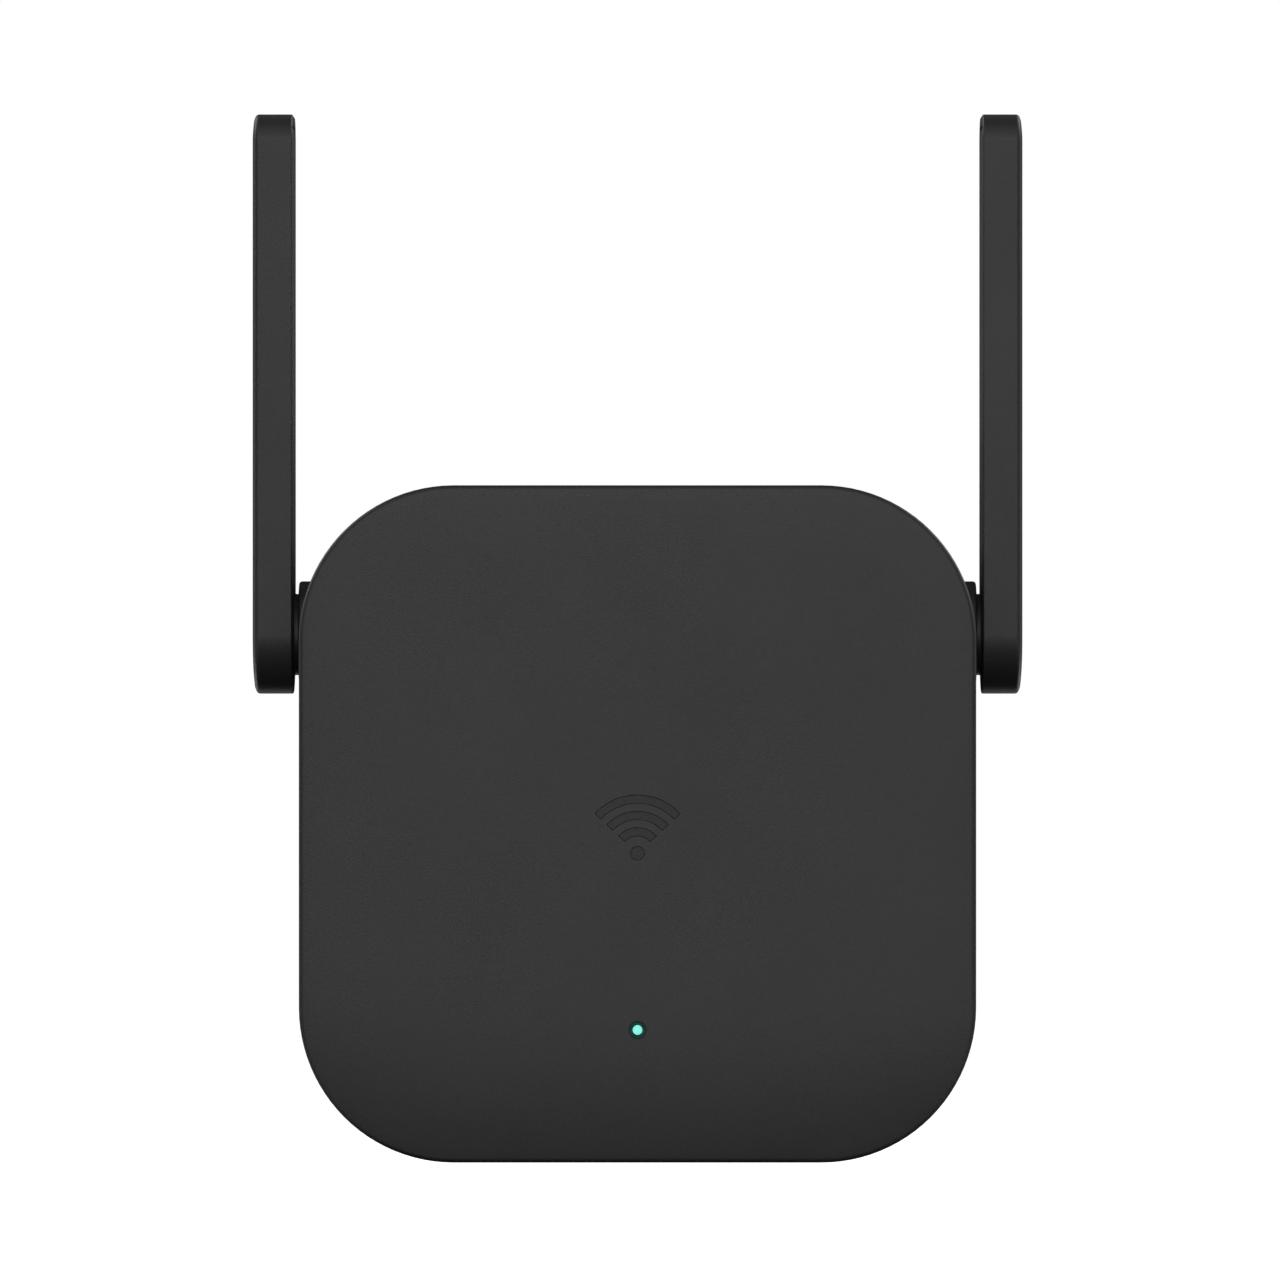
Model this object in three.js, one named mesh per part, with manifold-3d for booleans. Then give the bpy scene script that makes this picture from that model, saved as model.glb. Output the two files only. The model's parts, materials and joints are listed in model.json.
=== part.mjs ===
// A plug-in wifi range extender: a rounded square housing with two folding side antennas and a
// round two-pin mains plug at its back. Millimetres, +Z up, the front faces -Y and the wall is at +Y.
// The origin is the middle of the plug's mating face, between the two pins.
import * as THREE from "three";
import { mergeVertices } from "three/addons/utils/BufferGeometryUtils.js";
import Module from "manifold-3d";

const wasm = await Module();
wasm.setup();

// ---- Driving dimensions -------------------------------------------------------------------------

const GAP = 0.3; // clearance between neighbouring pieces
const OVERCUT = 1; // how far a cutting tool runs past the face it opens

// Housing
const BODY_SIZE = 78.8; // width and height
const CORNER_R = 18;
const FRONT_Y = -60;
const SPLIT_Y = -38; // parting plane between the front cover and the rear housing
const REAR_Y = -20;
const WALL = 2;
const FRONT_EDGE_R = 0.6;
const OUTLINE_STEPS = 5; // half the sides on each round corner
const REAR_ROUND_IN = 6; // how far the rear rounding comes in from the sides
const REAR_ROUND_DEEP = 8; // and how far it runs along the depth
const HALF = BODY_SIZE / 2;
const FRONT_WALL_IN = FRONT_Y + WALL;
const REAR_WALL_IN = REAR_Y - WALL;
const ROOT_Y = REAR_Y - WALL / 2; // where posts end inside the rear wall

// Antenna hinges, on the parting plane
const HINGE_Z = 22.05;
const BOSS_R = 6.3;
const BOSS_FACE_X = 40;
const WEB_OUT_X = 36; // the web that the hub's neck turns in
const WEB_IN_X = 33.5;
const HUB_R = 4.8;
const NECK_R = 3.3;
const NECK_END_X = 32.3;
const FLANGE_END_X = 30.9;
const HUB_BORE_R = 1.9;
const HINGE_SIDES = 24;

// Antenna blades
const BLADE_IN_X = 40.65;
const BLADE_OUT_X = 45.4;
const BLADE_HALF = 7; // half the blade's depth, and the radius of its lower end
const BLADE_TOP_Z = 83.4;
const BLADE_TIP_R = 3.3;
const BLADE_WALL = 1.2;
const BLADE_STEPS = 5;
const COVER_PLATE = 1.2;
const PLATE_LEDGE = 1.4; // what the cover plate rests on
const COAX_R = 0.6;

// Plug: the round two-pin contour plug for a recessed socket
const PLUG_R = 18.5;
const NOTCH_HALF = 2.9; // earth clip notches at the top and bottom
const NOTCH_DEEP = 3.4;
const GROOVE_HALF = 2.6; // guide grooves at the sides
const GROOVE_DEEP = 2;
const PLUG_EDGE_R = 0.8;
const PLUG_STEPS = 4;
const FLANGE_BACK_Y = REAR_WALL_IN - GAP;
const FLANGE_FRONT_Y = FLANGE_BACK_Y - 2.2;
const FLANGE_HALF = [21, 20];
const PIN_PITCH = 19;
const PIN_R = 2.4;
const PIN_LENGTH = 19;
const PIN_CLEARANCE = 0.1; // the pins are pressed in
const PIN_TAIL_R = 1.5;
const PIN_TAIL_Y = -25.4;
const PIN_BOSS_R = 4.4;
const PLUG_FACE_WALL = 3;
const PIN_BOSS_Y = -20; // inner end of the bosses that the pins sit in
const PIN_SHOULDER = { radius: 3.2, thick: 1 };

// Boards
const PSU_BACK_Y = -28;
const PSU_FRONT_Y = PSU_BACK_Y - 1.6;
const PSU_HALF = [25, 28];
const PSU_HOLES = [20, 25];
const MAIN_BACK_Y = -50.3;
const MAIN_FRONT_Y = MAIN_BACK_Y - 1.2;
const MAIN_HALF_X = 31;
const MAIN_LOW_Z = -33.5;
const MAIN_HIGH_Z = 31;
const MAIN_HOLES = [26, 26];
const PSU_PARTS_Y = PSU_FRONT_Y - GAP; // foot of what stands on the power board
const MAIN_FRONT_PARTS_Y = MAIN_FRONT_Y - GAP; // and on each side of the radio board
const MAIN_BACK_PARTS_Y = MAIN_BACK_Y + GAP;
const BARRIER_BACK_Y = -46.5;
const BARRIER_THICK = 0.5;
const BARRIER_HALF = [26.5, 27.5];
const POST_R = 2.8;
const SCREW_R = 1;
const SCREW_HEAD_R = 2.1;
const SCREW_HEAD = 1.4;
const SCREW_LENGTH = 5;
const SCREW_CLEARANCE = 0.2;

// Indicator and reset
const LED_Z = -23.96;
const LENS_R = 0.55;
const LED_HOLE_R = 0.7;
const LED_SINK_R = 1;
const LED_SINK_DEEP = 0.35;
const RESET_X = 14;
const RESET_Y = -48.4;
const RESET_HOLE_R = 0.8;
const RESET_TRAVEL = 0.25;
const PLUNGER_R = 0.9;
const PLUNGER_LOW_Z = -34.6;
const PLUNGER_HIGH_Z = -31.5;
const SWITCH_Z = [-32.9, -29.2];
const SWITCH_HALF_X = 3;
const SWITCH_FRONT_Y = -46.6;

// Vents
const VENT_WIDE = 1.6;
const VENT_PITCH = 4.5;
const TOP_VENTS = 9;
const TOP_VENT_Y = [-35.2, -29.4];
const REAR_VENTS = 6;
const REAR_VENT_X = [22, 30];
const VENT_ENDS = { steps: 1 };

// ---- Shape tools --------------------------------------------------------------------------------

// A closed three.js geometry as a manifold-3d solid.
function solidOf(geometry) {
  const bare = geometry.index ? geometry.toNonIndexed() : geometry.clone();
  for (const name of Object.keys(bare.attributes)) {
    if (name !== "position") bare.deleteAttribute(name);
  }
  const merged = mergeVertices(bare, 1e-4);
  const vertProperties = merged.attributes.position.array;
  const triVerts = new Uint32Array(merged.index.array);
  return new wasm.Manifold(new wasm.Mesh({ numProp: 3, vertProperties, triVerts }));
}

// A manifold-3d solid as a three.js geometry. flip mirrors it to the other side, through X = 0.
function geometryOf(solid, flip = false) {
  const mesh = solid.getMesh();
  const stride = mesh.numProp;
  const positions = new Float32Array(mesh.numVert * 3);
  for (let i = 0; i < mesh.numVert; i++) {
    positions.set(mesh.vertProperties.subarray(i * stride, i * stride + 3), i * 3);
    if (flip) positions[i * 3] *= -1;
  }
  const order = Array.from(mesh.triVerts);
  const geometry = new THREE.BufferGeometry();
  geometry.setAttribute("position", new THREE.BufferAttribute(positions, 3));
  geometry.setIndex(flip ? order.reverse() : order);
  geometry.computeVertexNormals();
  return geometry;
}

const X_AXIS = new THREE.Vector3(1, 0, 0);
const Y_AXIS = new THREE.Vector3(0, 1, 0);
const Z_AXIS = new THREE.Vector3(0, 0, 1);

// How an outline drawn in local XY stands when it is extruded along each axis:
// along x it is drawn in (Y, Z), along y in (X, Z) and along z in (X, Y).
const EXTRUDE_FRAMES = {
  x: new THREE.Matrix4().makeBasis(Y_AXIS, Z_AXIS, X_AXIS),
  y: new THREE.Matrix4().makeBasis(X_AXIS, Z_AXIS, Y_AXIS.clone().negate()),
  z: new THREE.Matrix4(),
};

// An outline extruded from low to high along an axis. edge rounds both ends: it is how far the
// rounding comes in, and edgeDeep how far it runs along the axis. Each arc gets 2 * steps sides.
function prism(shape, axis, low, high, { edge = 0, edgeDeep = edge, edgeSteps = 2, steps = 2 } = {}) {
  const geometry = new THREE.ExtrudeGeometry(shape, {
    depth: high - low - 2 * edgeDeep,
    curveSegments: steps,
    bevelEnabled: edge > 0,
    bevelThickness: edgeDeep,
    bevelSize: edge,
    bevelOffset: -edge,
    bevelSegments: edgeSteps,
  });
  geometry.translate(0, 0, edgeDeep - (high - low) / 2);
  geometry.applyMatrix4(EXTRUDE_FRAMES[axis]);
  const centre = new THREE.Vector3();
  centre[axis] = (low + high) / 2;
  geometry.translate(centre.x, centre.y, centre.z);
  return solidOf(geometry);
}

function block([x0, x1], [y0, y1], [z0, z1]) {
  const geometry = new THREE.BoxGeometry(x1 - x0, y1 - y0, z1 - z0);
  geometry.translate((x0 + x1) / 2, (y0 + y1) / 2, (z0 + z1) / 2);
  return solidOf(geometry);
}

// A round rod from low to high along an axis; at gives the place of its centre line.
function rod(axis, low, high, radius, at = {}, sides = 20) {
  const geometry = new THREE.CylinderGeometry(radius, radius, high - low, sides);
  if (axis === "x") geometry.rotateZ(Math.PI / 2);
  if (axis === "z") geometry.rotateX(Math.PI / 2);
  const centre = { x: 0, y: 0, z: 0, ...at };
  centre[axis] = (low + high) / 2;
  geometry.translate(centre.x, centre.y, centre.z);
  return solidOf(geometry);
}

// A turned piece round a line along Y. The profile is a list of [radius, y] that starts and ends
// on the axis, with y rising.
function turned(profile, { x = 0, z = 0 } = {}, sides = 20) {
  const points = profile.map(([radius, y]) => new THREE.Vector2(radius, y));
  const geometry = new THREE.LatheGeometry(points, sides);
  geometry.translate(x, 0, z);
  return solidOf(geometry);
}

// A round cable along a smooth curve through the given points.
function cable(points, radius, steps) {
  const section = new THREE.Shape().absarc(0, 0, radius, 0, 2 * Math.PI, false);
  const extrudePath = new THREE.CatmullRomCurve3(points.map((p) => new THREE.Vector3(...p)));
  const options = { steps, curveSegments: 4, bevelEnabled: false, extrudePath };
  return solidOf(new THREE.ExtrudeGeometry(section, options));
}

const join = (...solids) => wasm.Manifold.union(solids);
const corners = ([x, z]) => [[-x, z], [x, z], [-x, -z], [x, -z]];

// A rectangle with round corners, centred on (cx, cy).
function roundedRect(width, height, radius, cx = 0, cy = 0) {
  const x = width / 2 - radius;
  const y = height / 2 - radius;
  const shape = new THREE.Shape();
  shape.absarc(cx + x, cy + y, radius, 0, Math.PI / 2, false);
  shape.absarc(cx - x, cy + y, radius, Math.PI / 2, Math.PI, false);
  shape.absarc(cx - x, cy - y, radius, Math.PI, 1.5 * Math.PI, false);
  shape.absarc(cx + x, cy - y, radius, 1.5 * Math.PI, 2 * Math.PI, false);
  shape.closePath();
  return shape;
}

const bodyOutline = (inset) =>
  roundedRect(BODY_SIZE - 2 * inset, BODY_SIZE - 2 * inset, CORNER_R - inset);

// The blade's side outline in (Y, Z): a round lower end about the hinge and a blunt tip.
function bladeOutline(inset) {
  const half = BLADE_HALF - inset;
  const tip = Math.max(BLADE_TIP_R - inset, 0.4);
  const top = BLADE_TOP_Z - inset - tip;
  const shape = new THREE.Shape();
  shape.absarc(SPLIT_Y, HINGE_Z, half, Math.PI, 2 * Math.PI, false);
  shape.absarc(SPLIT_Y + half - tip, top, tip, 0, Math.PI / 2, false);
  shape.absarc(SPLIT_Y - half + tip, top, tip, Math.PI / 2, Math.PI, false);
  shape.closePath();
  return shape;
}

// The plug's round outline in (X, Z) with its two notches and two grooves, grown by an offset.
function plugOutline(grow) {
  const radius = PLUG_R + grow;
  const notch = NOTCH_HALF - grow;
  const groove = GROOVE_HALF - grow;
  const notchAngle = Math.asin(notch / radius);
  const grooveAngle = Math.asin(groove / radius);
  const notchFloor = PLUG_R - NOTCH_DEEP + grow;
  const grooveFloor = PLUG_R - GROOVE_DEEP + grow;
  const right = Math.PI / 2;
  const shape = new THREE.Shape();
  shape.moveTo(grooveFloor, groove);
  shape.absarc(0, 0, radius, grooveAngle, right - notchAngle, false);
  shape.lineTo(notch, notchFloor);
  shape.lineTo(-notch, notchFloor);
  shape.absarc(0, 0, radius, right + notchAngle, 2 * right - grooveAngle, false);
  shape.lineTo(-grooveFloor, groove);
  shape.lineTo(-grooveFloor, -groove);
  shape.absarc(0, 0, radius, 2 * right + grooveAngle, 3 * right - notchAngle, false);
  shape.lineTo(-notch, -notchFloor);
  shape.lineTo(notch, -notchFloor);
  shape.absarc(0, 0, radius, 3 * right + notchAngle, 4 * right - grooveAngle, false);
  shape.lineTo(grooveFloor, -groove);
  shape.closePath();
  return shape;
}

// ---- Materials and the list of pieces -----------------------------------------------------------

const finish = (color, roughness, metalness = 0) => ({ color, roughness, metalness });

const FINISHES = {
  housing: finish(0x2b2b2c, 0.55),
  antenna: finish(0x2b2b2c, 0.5),
  plug: finish(0x222223, 0.5),
  lens: finish(0x7deddb, 0.2),
  nickel: finish(0xc9c8c2, 0.25, 1),
  bronze: finish(0xb98a4a, 0.35, 1),
  board: finish(0x14402c, 0.45),
  chip: finish(0x18181a, 0.5),
  ferrite: finish(0x2f2d2b, 0.6),
  tape: finish(0xd9b93a, 0.35),
  sleeve: finish(0x1f2c4d, 0.3),
  resistor: finish(0x8f4a3a, 0.5),
  disc: finish(0x2c6fae, 0.4),
  barrier: finish(0xe6e2d6, 0.4),
  tin: finish(0xb9bbbd, 0.35, 1),
  aluminium: finish(0xc4c6c8, 0.4, 1),
  silicone: finish(0x9a9da0, 0.7),
  steel: finish(0x8f9092, 0.3, 1),
  coax: finish(0x3a3a3c, 0.4),
  led: finish(0xf2f0e2, 0.4),
  button: finish(0xd8d4c8, 0.5),
};

const extender = new THREE.Group();

// Adds one piece as a named mesh. position places a piece that was modelled about its own foot.
function add(name, solid, finishName, { parent = extender, position = [0, 0, 0], flip = false } = {}) {
  const mesh = new THREE.Mesh(
    geometryOf(solid, flip),
    new THREE.MeshStandardMaterial(FINISHES[finishName]),
  );
  mesh.name = name;
  mesh.position.set(...position);
  parent.add(mesh);
  return mesh;
}

// The same piece on both sides of the body, right as modelled and left mirrored.
function addPair(nameOf, solid, finishName, options = {}) {
  const [x, y, z] = options.position ?? [0, 0, 0];
  add(nameOf("right"), solid, finishName, options);
  add(nameOf("left"), solid, finishName, { ...options, position: [-x, y, z], flip: true });
}

// ---- Housing ------------------------------------------------------------------------------------

const HINGE_AXIS = { y: SPLIT_Y, z: HINGE_Z };

// What both housing halves share at the right-hand hinge: the boss, and the stepped bore in it.
const hingeBoss = rod("x", WEB_IN_X, BOSS_FACE_X, BOSS_R, HINGE_AXIS, HINGE_SIDES);
const hingeBore = join(
  rod("x", WEB_OUT_X, BOSS_FACE_X + OVERCUT, HUB_R + GAP, HINGE_AXIS, HINGE_SIDES),
  rod("x", WEB_IN_X - OVERCUT, WEB_OUT_X + OVERCUT, NECK_R + GAP, HINGE_AXIS, HINGE_SIDES),
);
// Room inside the boss for the neck's flange and the washer.
const flangeRoom = rod("x", FLANGE_END_X - OVERCUT, WEB_IN_X, BOSS_R, HINGE_AXIS, HINGE_SIDES);

const mirrored = (solid) => solidOf(geometryOf(solid, true));
const bothSides = (solid) => join(solid, mirrored(solid));

const WIDE = [-BODY_SIZE, BODY_SIZE];
const FRONT_HALF = block(WIDE, [FRONT_Y - OVERCUT, SPLIT_Y - GAP / 2], WIDE);
const REAR_HALF = block(WIDE, [SPLIT_Y + GAP / 2, REAR_Y + OVERCUT], WIDE);

// Snap arms stand on the rear housing, one at the middle of each side, and hook over catches
// inside the front cover.
const ARM_WIDE = 10;
const ARM_THICK = 1.2;
const ARM_TIP_Y = SPLIT_Y - 6;
const ARM_OUT = HALF - WALL - GAP;
const CATCH_Y = [SPLIT_Y - 4.4, SPLIT_Y - 3];
const CATCH_WIDE = 7;
const CATCH_HIGH = 1;
const ARM_SIDE_Z = 2; // the side arms stand below the hinges

// A box on one of the four walls: along is its middle on the wall and wide its width there, and
// inner and outer are its distances from the middle of the body.
function wallBox(side, along, wide, yRange, [inner, outer]) {
  const across = [along - wide / 2, along + wide / 2];
  const reach = side === "top" || side === "right" ? [inner, outer] : [-outer, -inner];
  return side === "top" || side === "bottom"
    ? block(across, yRange, reach)
    : block(reach, yRange, across);
}

const SNAP_SIDES = [["top", 0], ["bottom", 0], ["left", ARM_SIDE_Z], ["right", ARM_SIDE_Z]];

function frontCover() {
  const shell = prism(bodyOutline(0), "y", FRONT_Y, SPLIT_Y + 10, {
    edge: FRONT_EDGE_R,
    steps: OUTLINE_STEPS,
  });
  const cavity = prism(bodyOutline(WALL), "y", FRONT_WALL_IN, SPLIT_Y + 10 + OVERCUT, {
    steps: OUTLINE_STEPS,
  });
  const posts = corners(MAIN_HOLES).map(([x, z]) =>
    rod("y", FRONT_WALL_IN - OVERCUT, MAIN_FRONT_PARTS_Y, POST_R, { x, z }, 16),
  );
  const pilots = corners(MAIN_HOLES).map(([x, z]) =>
    rod("y", MAIN_BACK_Y - SCREW_LENGTH - GAP, MAIN_FRONT_Y, SCREW_R + SCREW_CLEARANCE, { x, z }, 12),
  );
  const catches = SNAP_SIDES.map(([side, along]) =>
    wallBox(side, along, CATCH_WIDE, CATCH_Y, [HALF - WALL - CATCH_HIGH, HALF - WALL / 2]),
  );
  const ledHole = turned([
    [0, FRONT_Y - OVERCUT],
    [LED_SINK_R, FRONT_Y - OVERCUT],
    [LED_SINK_R, FRONT_Y],
    [LED_HOLE_R, FRONT_Y + LED_SINK_DEEP],
    [LED_HOLE_R, FRONT_WALL_IN + OVERCUT],
    [0, FRONT_WALL_IN + OVERCUT],
  ], { z: LED_Z }, 16);
  const resetHole = rod("z", -HALF - OVERCUT, -HALF + WALL + OVERCUT, RESET_HOLE_R, {
    x: RESET_X,
    y: RESET_Y,
  }, 12);
  return shell
    .subtract(cavity)
    .add(join(...posts, ...catches, bothSides(hingeBoss)))
    .subtract(join(...pilots, ledHole, resetHole, bothSides(hingeBore)))
    .intersect(FRONT_HALF);
}

function rearVents() {
  const slots = [];
  for (let i = 0; i < TOP_VENTS; i++) {
    const x = (i - (TOP_VENTS - 1) / 2) * VENT_PITCH;
    const middle = (TOP_VENT_Y[0] + TOP_VENT_Y[1]) / 2;
    const slot = roundedRect(VENT_WIDE, TOP_VENT_Y[1] - TOP_VENT_Y[0], VENT_WIDE / 2, x, middle);
    slots.push(prism(slot, "z", HALF - WALL - OVERCUT, HALF + OVERCUT, VENT_ENDS));
    slots.push(prism(slot, "z", -HALF - OVERCUT, -HALF + WALL + OVERCUT, VENT_ENDS));
  }
  for (let i = 0; i < REAR_VENTS; i++) {
    const z = (i - (REAR_VENTS - 1) / 2) * VENT_PITCH;
    const [inner, outer] = REAR_VENT_X;
    const slot = roundedRect(outer - inner, VENT_WIDE, VENT_WIDE / 2, (inner + outer) / 2, z);
    slots.push(bothSides(prism(slot, "y", REAR_WALL_IN - OVERCUT, REAR_Y + OVERCUT, VENT_ENDS)));
  }
  return join(...slots);
}

const STAKES = [16.5, 17]; // heat stakes that hold the plug's flange
const STAKE_R = 1.2;
const STAKE_HEAD_R = 2.1;
const TONGUE_THICK = 1; // the rim that the front cover slides over
const TONGUE_Y = [SPLIT_Y - 2, SPLIT_Y + 2];

// The rim that stands inside the front cover, with its root in the rear wall and room for the bosses.
function tongueRing() {
  const outline = (inset, low, high) =>
    prism(bodyOutline(inset), "y", low, high, { steps: OUTLINE_STEPS });
  const [low, high] = TONGUE_Y;
  const rim = outline(WALL + GAP, low, high);
  const root = outline(WALL / 2, SPLIT_Y + GAP / 2, high);
  const inside = outline(WALL + GAP + TONGUE_THICK, low - OVERCUT, high + OVERCUT);
  const bossRoom = rod("x", WEB_IN_X - 5, HALF, BOSS_R + GAP, HINGE_AXIS, HINGE_SIDES);
  return rim.add(root).subtract(join(inside, bothSides(bossRoom)));
}

function snapArms() {
  const high = TONGUE_Y[1];
  const arms = SNAP_SIDES.flatMap(([side, along]) => [
    wallBox(side, along, ARM_WIDE, [ARM_TIP_Y, high], [ARM_OUT - ARM_THICK, ARM_OUT]),
    wallBox(side, along, ARM_WIDE, [SPLIT_Y + GAP / 2, high], [ARM_OUT - ARM_THICK, HALF - WALL / 2]),
  ]);
  const windows = SNAP_SIDES.map(([side, along]) => {
    const yRange = [CATCH_Y[0] - GAP, CATCH_Y[1] + GAP];
    const reach = [ARM_OUT - 3 * ARM_THICK, HALF - WALL + GAP];
    return wallBox(side, along, CATCH_WIDE + 2 * GAP, yRange, reach);
  });
  return join(...arms).subtract(join(...windows));
}

function rearHousing() {
  const rounding = {
    edge: REAR_ROUND_IN,
    edgeDeep: REAR_ROUND_DEEP,
    edgeSteps: 4,
    steps: OUTLINE_STEPS,
  };
  const shell = prism(bodyOutline(0), "y", SPLIT_Y - 12, REAR_Y, rounding);
  const cavity = prism(bodyOutline(WALL), "y", SPLIT_Y - 14, REAR_WALL_IN, rounding);
  const posts = corners(PSU_HOLES).map(([x, z]) =>
    rod("y", PSU_BACK_Y + GAP, ROOT_Y, POST_R, { x, z }, 16),
  );
  const pilots = corners(PSU_HOLES).map(([x, z]) =>
    rod("y", PSU_BACK_Y, PSU_FRONT_Y + SCREW_LENGTH + GAP, SCREW_R + SCREW_CLEARANCE, { x, z }, 12),
  );
  const stakeFace = FLANGE_FRONT_Y - GAP;
  const stakes = corners(STAKES).map(([x, z]) => turned([
    [0, stakeFace - 1],
    [STAKE_R, stakeFace - 0.8],
    [STAKE_HEAD_R, stakeFace],
    [STAKE_R, stakeFace],
    [STAKE_R, ROOT_Y],
    [0, ROOT_Y],
  ], { x, z }, 12));
  const plugHole = prism(plugOutline(GAP), "y", REAR_WALL_IN - OVERCUT, REAR_Y + OVERCUT, {
    steps: PLUG_STEPS,
  });
  return join(shell.subtract(cavity), ...posts, ...stakes, bothSides(hingeBoss))
    .intersect(REAR_HALF)
    .add(tongueRing())
    .add(snapArms())
    .subtract(bothSides(flangeRoom))
    .subtract(join(...pilots, plugHole, rearVents(), bothSides(hingeBore)));
}

// A clear pipe from the light on the radio board to the pinhead lens in the front face, with a
// collar behind the wall.
function lightPipe() {
  const collarY = FRONT_WALL_IN + GAP;
  const collarR = 2.2;
  const stemR = 1.3;
  const stemEnd = MAIN_FRONT_Y - 1.3;
  return turned([
    [0, FRONT_Y + 0.05],
    [LENS_R - 0.15, FRONT_Y + 0.1],
    [LENS_R, FRONT_Y + 0.3],
    [LENS_R, collarY],
    [collarR, collarY],
    [collarR, collarY + 0.8],
    [stemR, collarY + 0.8],
    [stemR, stemEnd],
    [0, stemEnd],
  ], { z: LED_Z }, 14);
}

add("front_cover", frontCover(), "housing");
add("rear_housing", rearHousing(), "housing");
add("light_pipe", lightPipe(), "lens");

// ---- Mains plug ---------------------------------------------------------------------------------

const PLUG_WALL = 2.2;
const PIN_SIDES = [-PIN_PITCH / 2, PIN_PITCH / 2];

// What stays inside the plug's hollow: the walls behind its notches and grooves, and the pin bosses.
function plugRibs(hollowFloor) {
  const depth = [FLANGE_FRONT_Y - 2 * OVERCUT, hollowFloor + OVERCUT];
  const across = (half) => [-half - PLUG_WALL, half + PLUG_WALL];
  const rims = [[-PLUG_R, -1], [PLUG_R, 1]].flatMap(([rim, side]) => {
    const notch = [rim, rim - side * (NOTCH_DEEP + PLUG_WALL)].sort((a, b) => a - b);
    const groove = [rim, rim - side * (GROOVE_DEEP + PLUG_WALL)].sort((a, b) => a - b);
    return [
      block(across(NOTCH_HALF), depth, notch),
      block(groove, depth, across(GROOVE_HALF)),
    ];
  });
  const bosses = PIN_SIDES.map((x) => rod("y", PIN_BOSS_Y, hollowFloor + OVERCUT, PIN_BOSS_R, { x }));
  return join(...rims, ...bosses);
}

// The round plug body with a flange that sits behind the rear wall.
function plugBase() {
  const edges = { edge: PLUG_EDGE_R, steps: PLUG_STEPS };
  const body = prism(plugOutline(0), "y", FLANGE_FRONT_Y, 0, edges);
  const [flangeX, flangeZ] = FLANGE_HALF;
  const flangeOutline = roundedRect(2 * flangeX, 2 * flangeZ, 3);
  const flange = prism(flangeOutline, "y", FLANGE_FRONT_Y, FLANGE_BACK_Y);
  const hollowFloor = -PLUG_FACE_WALL;
  const hollow = rod("y", FLANGE_FRONT_Y - OVERCUT, hollowFloor, PLUG_R - PLUG_WALL, {}, 32)
    .subtract(plugRibs(hollowFloor));
  const pinHoles = PIN_SIDES.map((x) =>
    rod("y", PIN_BOSS_Y - OVERCUT, OVERCUT, PIN_R + PIN_CLEARANCE, { x }, 16),
  );
  const stakeHoles = corners(STAKES).map(([x, z]) =>
    rod("y", FLANGE_FRONT_Y - OVERCUT, FLANGE_BACK_Y + OVERCUT, STAKE_R + GAP, { x, z }, 12),
  );
  return body.add(flange).subtract(join(hollow, ...pinHoles, ...stakeHoles));
}

// A solid pin with a rounded tip, a shoulder behind its boss and a thinner tail.
function plugPin() {
  const shoulderFace = PIN_BOSS_Y - GAP;
  const shoulderBack = shoulderFace - PIN_SHOULDER.thick;
  return turned([
    [0, PIN_TAIL_Y],
    [PIN_TAIL_R, PIN_TAIL_Y],
    [PIN_TAIL_R, shoulderBack],
    [PIN_SHOULDER.radius, shoulderBack],
    [PIN_SHOULDER.radius, shoulderFace],
    [PIN_R, shoulderFace],
    [PIN_R, PIN_LENGTH - 2.2],
    [2.2, PIN_LENGTH - 1.2],
    [1.7, PIN_LENGTH - 0.45],
    [0.9, PIN_LENGTH],
    [0, PIN_LENGTH],
  ], { x: PIN_PITCH / 2 }, 16);
}

// A bronze leaf from a foot on the power board up to the pin's tail.
function pinContact() {
  const thick = 0.4;
  const footY = PSU_BACK_Y + GAP;
  const tipY = PIN_TAIL_Y - GAP - thick;
  const shape = new THREE.Shape();
  shape.moveTo(PIN_PITCH / 2 + 8, footY);
  shape.lineTo(PIN_PITCH / 2 + 8, footY + thick);
  shape.lineTo(PIN_PITCH / 2 + 5.4, footY + thick);
  shape.lineTo(PIN_PITCH / 2 + 1.4, tipY + thick);
  shape.lineTo(PIN_PITCH / 2 - 1.4, tipY + thick);
  shape.lineTo(PIN_PITCH / 2 - 1.4, tipY);
  shape.lineTo(PIN_PITCH / 2 + 1.4, tipY);
  shape.lineTo(PIN_PITCH / 2 + 5.2, footY);
  shape.closePath();
  return prism(shape, "z", -2, 2);
}

add("plug_base", plugBase(), "plug");
addPair((side) => `plug_pin_${side}`, plugPin(), "nickel");
addPair((side) => `pin_contact_${side}`, pinContact(), "bronze");

// ---- What the boards share --------------------------------------------------------------------

// A board with round corners and a screw hole near each of them.
function boardSheet(halfX, [lowZ, highZ], holes, yRange) {
  const outline = roundedRect(2 * halfX, highZ - lowZ, 4, 0, (lowZ + highZ) / 2);
  const cuts = corners(holes).map(([x, z]) =>
    rod("y", yRange[0] - OVERCUT, yRange[1] + OVERCUT, SCREW_R + GAP, { x, z }, 12),
  );
  return prism(outline, "y", ...yRange).subtract(join(...cuts));
}

// A pan-head screw with a cross slot, its tip towards +Y and its head resting on y = 0.
function screw() {
  const top = -GAP - SCREW_HEAD;
  const body = turned([
    [0, top],
    [SCREW_HEAD_R - 0.5, top],
    [SCREW_HEAD_R, -GAP - 0.6],
    [SCREW_HEAD_R, -GAP],
    [SCREW_R, -GAP],
    [SCREW_R, SCREW_LENGTH - 1],
    [0, SCREW_LENGTH],
  ], {}, 12);
  const slot = (halfX, halfZ) =>
    block([-halfX, halfX], [top - OVERCUT, top + 0.7], [-halfZ, halfZ]);
  return body.subtract(slot(1.2, 0.25).add(slot(0.25, 1.2)));
}

// Parts for a board stand on y = 0 and rise towards -Y, as on the side that faces the front.

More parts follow.
